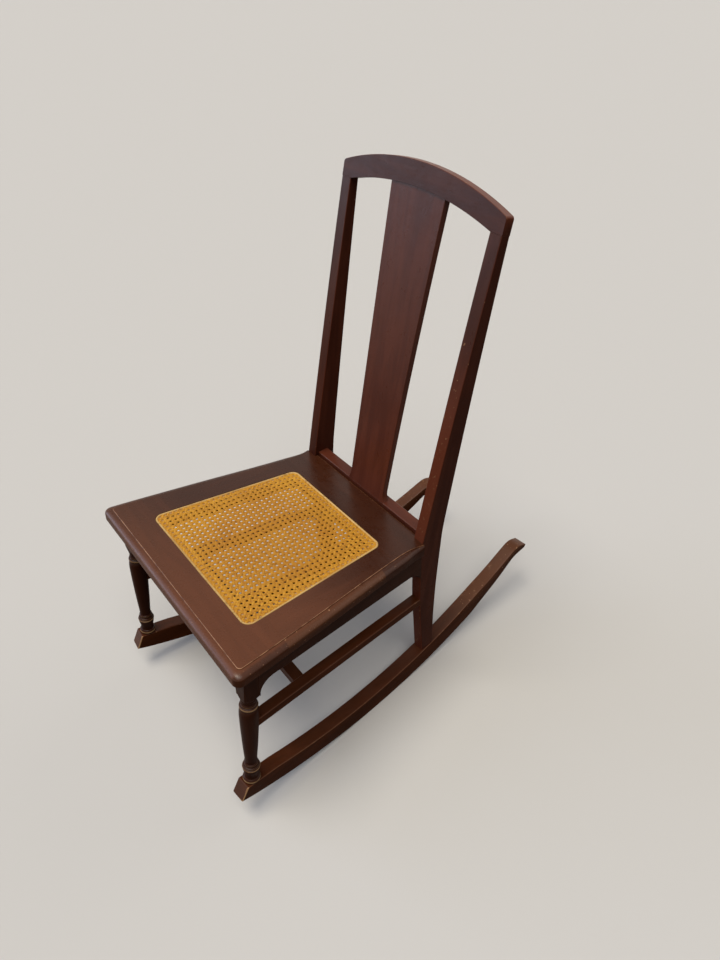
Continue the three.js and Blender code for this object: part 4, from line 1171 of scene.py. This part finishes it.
def apron_drop(distance):
    """How far below the seat's top an apron's lower edge is, at a distance from its nearer end."""
    if distance >= APRON_CURVE:
        return APRON_DROP
    return APRON_END_DROP - math.sqrt(max(0.0, APRON_CURVE**2 - (APRON_CURVE - distance) ** 2))


def apron_places(start, end):
    """Places along an apron, closer together where its lower edge curves down at the ends."""
    bend = [APRON_CURVE * (1 - math.cos(math.radians(a))) for a in (0, 15, 30, 45, 60, 75, 90)]
    return [start + d for d in bend] + steps(start + 40, end - 40, 10) + [end - d for d in bend[::-1]]


def side_apron(name, side, material, seed):
    front, rear = leg_y(300) + LEG_BLOCK / 2 - 3.0, post_front(290) + 1.0
    slope = Vector((-side * (apron_outer(0) - apron_outer(1)), 1, 0)).normalized()
    across = Vector((slope.y, -slope.x, 0))
    stations = []
    for y in apron_places(front, rear):
        low, high = seat_top(y) - apron_drop(min(y - front, rear - y)), seat_bottom(y)
        centre = Vector((side * (apron_outer(y) - APRON_THICKNESS / 2), y, (low + high) / 2))
        stations.append((centre, across, Z, APRON_THICKNESS / 2, (high - low) / 2))
    shape, wear = bar(stations, 1.6, 0.4)
    wooden(f"side_apron_{name}", shape, material, Y, wear, seed)


def front_apron(material, seed):
    end = LEG_X - LEG_BLOCK / 2 + 0.8
    lean = Vector((0, LEG_LEAN, 1)).normalized()
    stations = []
    for x in apron_places(-end, end):
        low, high = seat_top(0) - apron_drop(min(x + end, end - x)), seat_bottom(18)
        z = (low + high) / 2
        y = leg_y(z) - LEG_BLOCK / 2 + APRON_SETBACK + APRON_THICKNESS / 2
        stations.append((Vector((x, y, z)), Y, lean, APRON_THICKNESS / 2, (high - low) / 2 / lean.z))
    shape, wear = bar(stations, 1.6, 0.4)
    wooden("front_apron", shape, material, X, wear, seed)


def side_stretcher(name, side, material, seed):
    start, end = leg_y(218) + 6, post_front(200) + 2
    slope = Vector((side * (stretcher_x(1) - stretcher_x(0)), 1, 0)).normalized()
    across = Vector((slope.y, -slope.x, 0))
    stations = []
    for y in steps(start, end, 16):
        centre = Vector((side * stretcher_x(y), y, stretcher_top(y) - STRETCHER_HEIGHT / 2))
        stations.append((centre, across, Z, STRETCHER_WIDTH / 2, STRETCHER_HEIGHT / 2))
    shape, wear = bar(stations, 1.8, 0.5)
    wooden(f"side_stretcher_{name}", shape, material, Y, wear, seed)


def cross_stretcher(material, seed):
    half = stretcher_x(CROSS_Y) - STRETCHER_WIDTH / 2 + 1.0
    stations = []
    for x in steps(-half, half, 12):
        centre = Vector((x, CROSS_Y, CROSS_TOP - CROSS_HEIGHT / 2))
        stations.append((centre, Y, Z, CROSS_WIDTH / 2, CROSS_HEIGHT / 2))
    shape, wear = bar(stations, 1.8, 0.5)
    wooden("cross_stretcher", shape, material, X, wear, seed)


# ---- the scene

def set_up_studio():
    bpy.context.scene.view_settings.view_transform = "Standard"
    make_camera()
    make_world(ambient=(0.12, 0.12, 0.125), shown=(0.655, 0.627, 0.588))
    soft_sun("ceiling", (-0.10, -0.22, 1.0), 26, 1.45, (1.0, 0.92, 0.78))
    soft_sun("room", (0.36, -0.20, 0.91), 40, 1.25, (1.0, 0.96, 0.90))
    soft_sun("wall", (0.10, 0.92, 0.38), 60, 0.45, (1.0, 0.95, 0.88))
    soft_sun("window_low", (-0.68, -0.55, 0.16), 36, 0.8, (0.66, 0.76, 1.0))
    soft_sun("window_high", (-0.62, -0.50, 0.70), 40, 0.5, (0.66, 0.76, 1.0))
    make_floor(shown=(0.60, 0.59, 0.575), bounced=(0.12, 0.12, 0.12))


def finish_cad_parts():
    """Raw wood on the dowels and corner blocks, and steel on the screws, which keep their CAD shapes."""
    raw = wood(
        "raw_wood", (0.46, 0.29, 0.15), (0.30, 0.17, 0.08), (0.5, 0.33, 0.18), (0.5, 0.33, 0.18),
        roughness=0.6, from_object=True)
    steel = screw_steel()
    for name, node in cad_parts.items():
        if "dowel" in name or "corner_block" in name:
            node.material_slots[0].material = raw
        if "screw" in name:
            node.material_slots[0].material = steel


def build_frame():
    """The rockers and what stands on them, with legs and side aprons in darker wood as painted shade under
    the seat, and a glossier back.
    """
    frame_wood = wood(
        "stained_wood", (0.077, 0.020, 0.006), (0.048, 0.012, 0.003), THIN_STAIN, RUBBED,
        gloss=(0.01, 0.22))
    # Legs and side aprons: the stained wood made darker, a painted shade for their place under the seat.
    painted_shade_leg_wood = wood(
        "painted_shade_leg_wood", (0.040, 0.011, 0.004), (0.025, 0.006, 0.002), (0.11, 0.050, 0.022),
        (0.30, 0.18, 0.09), gloss=(0.015, 0.14))
    back_wood = wood(
        "back_wood", (0.075, 0.020, 0.010), (0.049, 0.012, 0.006), (0.17, 0.042, 0.020), RUBBED,
        roughness=0.30, gloss=(0.015, 0.19), polished=(0.35, 0.80))
    splat_wood = wood(
        "splat_wood", (0.110, 0.028, 0.014), (0.076, 0.018, 0.009), THIN_STAIN, RUBBED,
        roughness=0.30, gloss=(0.06, 0.25), polished=(0.35, 0.75))
    for index, (name, side) in enumerate(SIDES):
        rocker(name, side, frame_wood, 1 + index)
        rear_post(name, side, back_wood, 3 + index)
        front_leg(name, side, painted_shade_leg_wood, 5 + index)
        side_apron(name, side, painted_shade_leg_wood, 15 + index)
        side_stretcher(name, side, frame_wood, 17 + index)
    crest_rail(back_wood, 7)
    splat(splat_wood, 8)
    rear_rail(splat_wood, 9)
    front_apron(frame_wood, 19)
    cross_stretcher(frame_wood, 20)


def build_seat():
    # The seat's wood has painted light at its front right, and painted shade towards the rear left and on
    # faces turned to the right.
    seat_boards(wood(
        "seat_wood", (0.090, 0.026, 0.010), (0.062, 0.017, 0.006), THIN_STAIN, (0.42, 0.22, 0.12),
        roughness=0.27, gloss=(0.015, 0.34), painted_light_falloff=(-0.32, -0.09)))
    cane_panel(cane_material("cane", (0.70, 0.36, 0.034), (0.50, 0.23, 0.018), (0.36, 0.13, 0.014)))
    cane_spline(cane_material("cane_spline", (0.66, 0.44, 0.17), (0.56, 0.34, 0.11), (0.42, 0.22, 0.06)))


def main():
    set_up_studio()
    finish_cad_parts()
    build_frame()
    build_seat()


main()
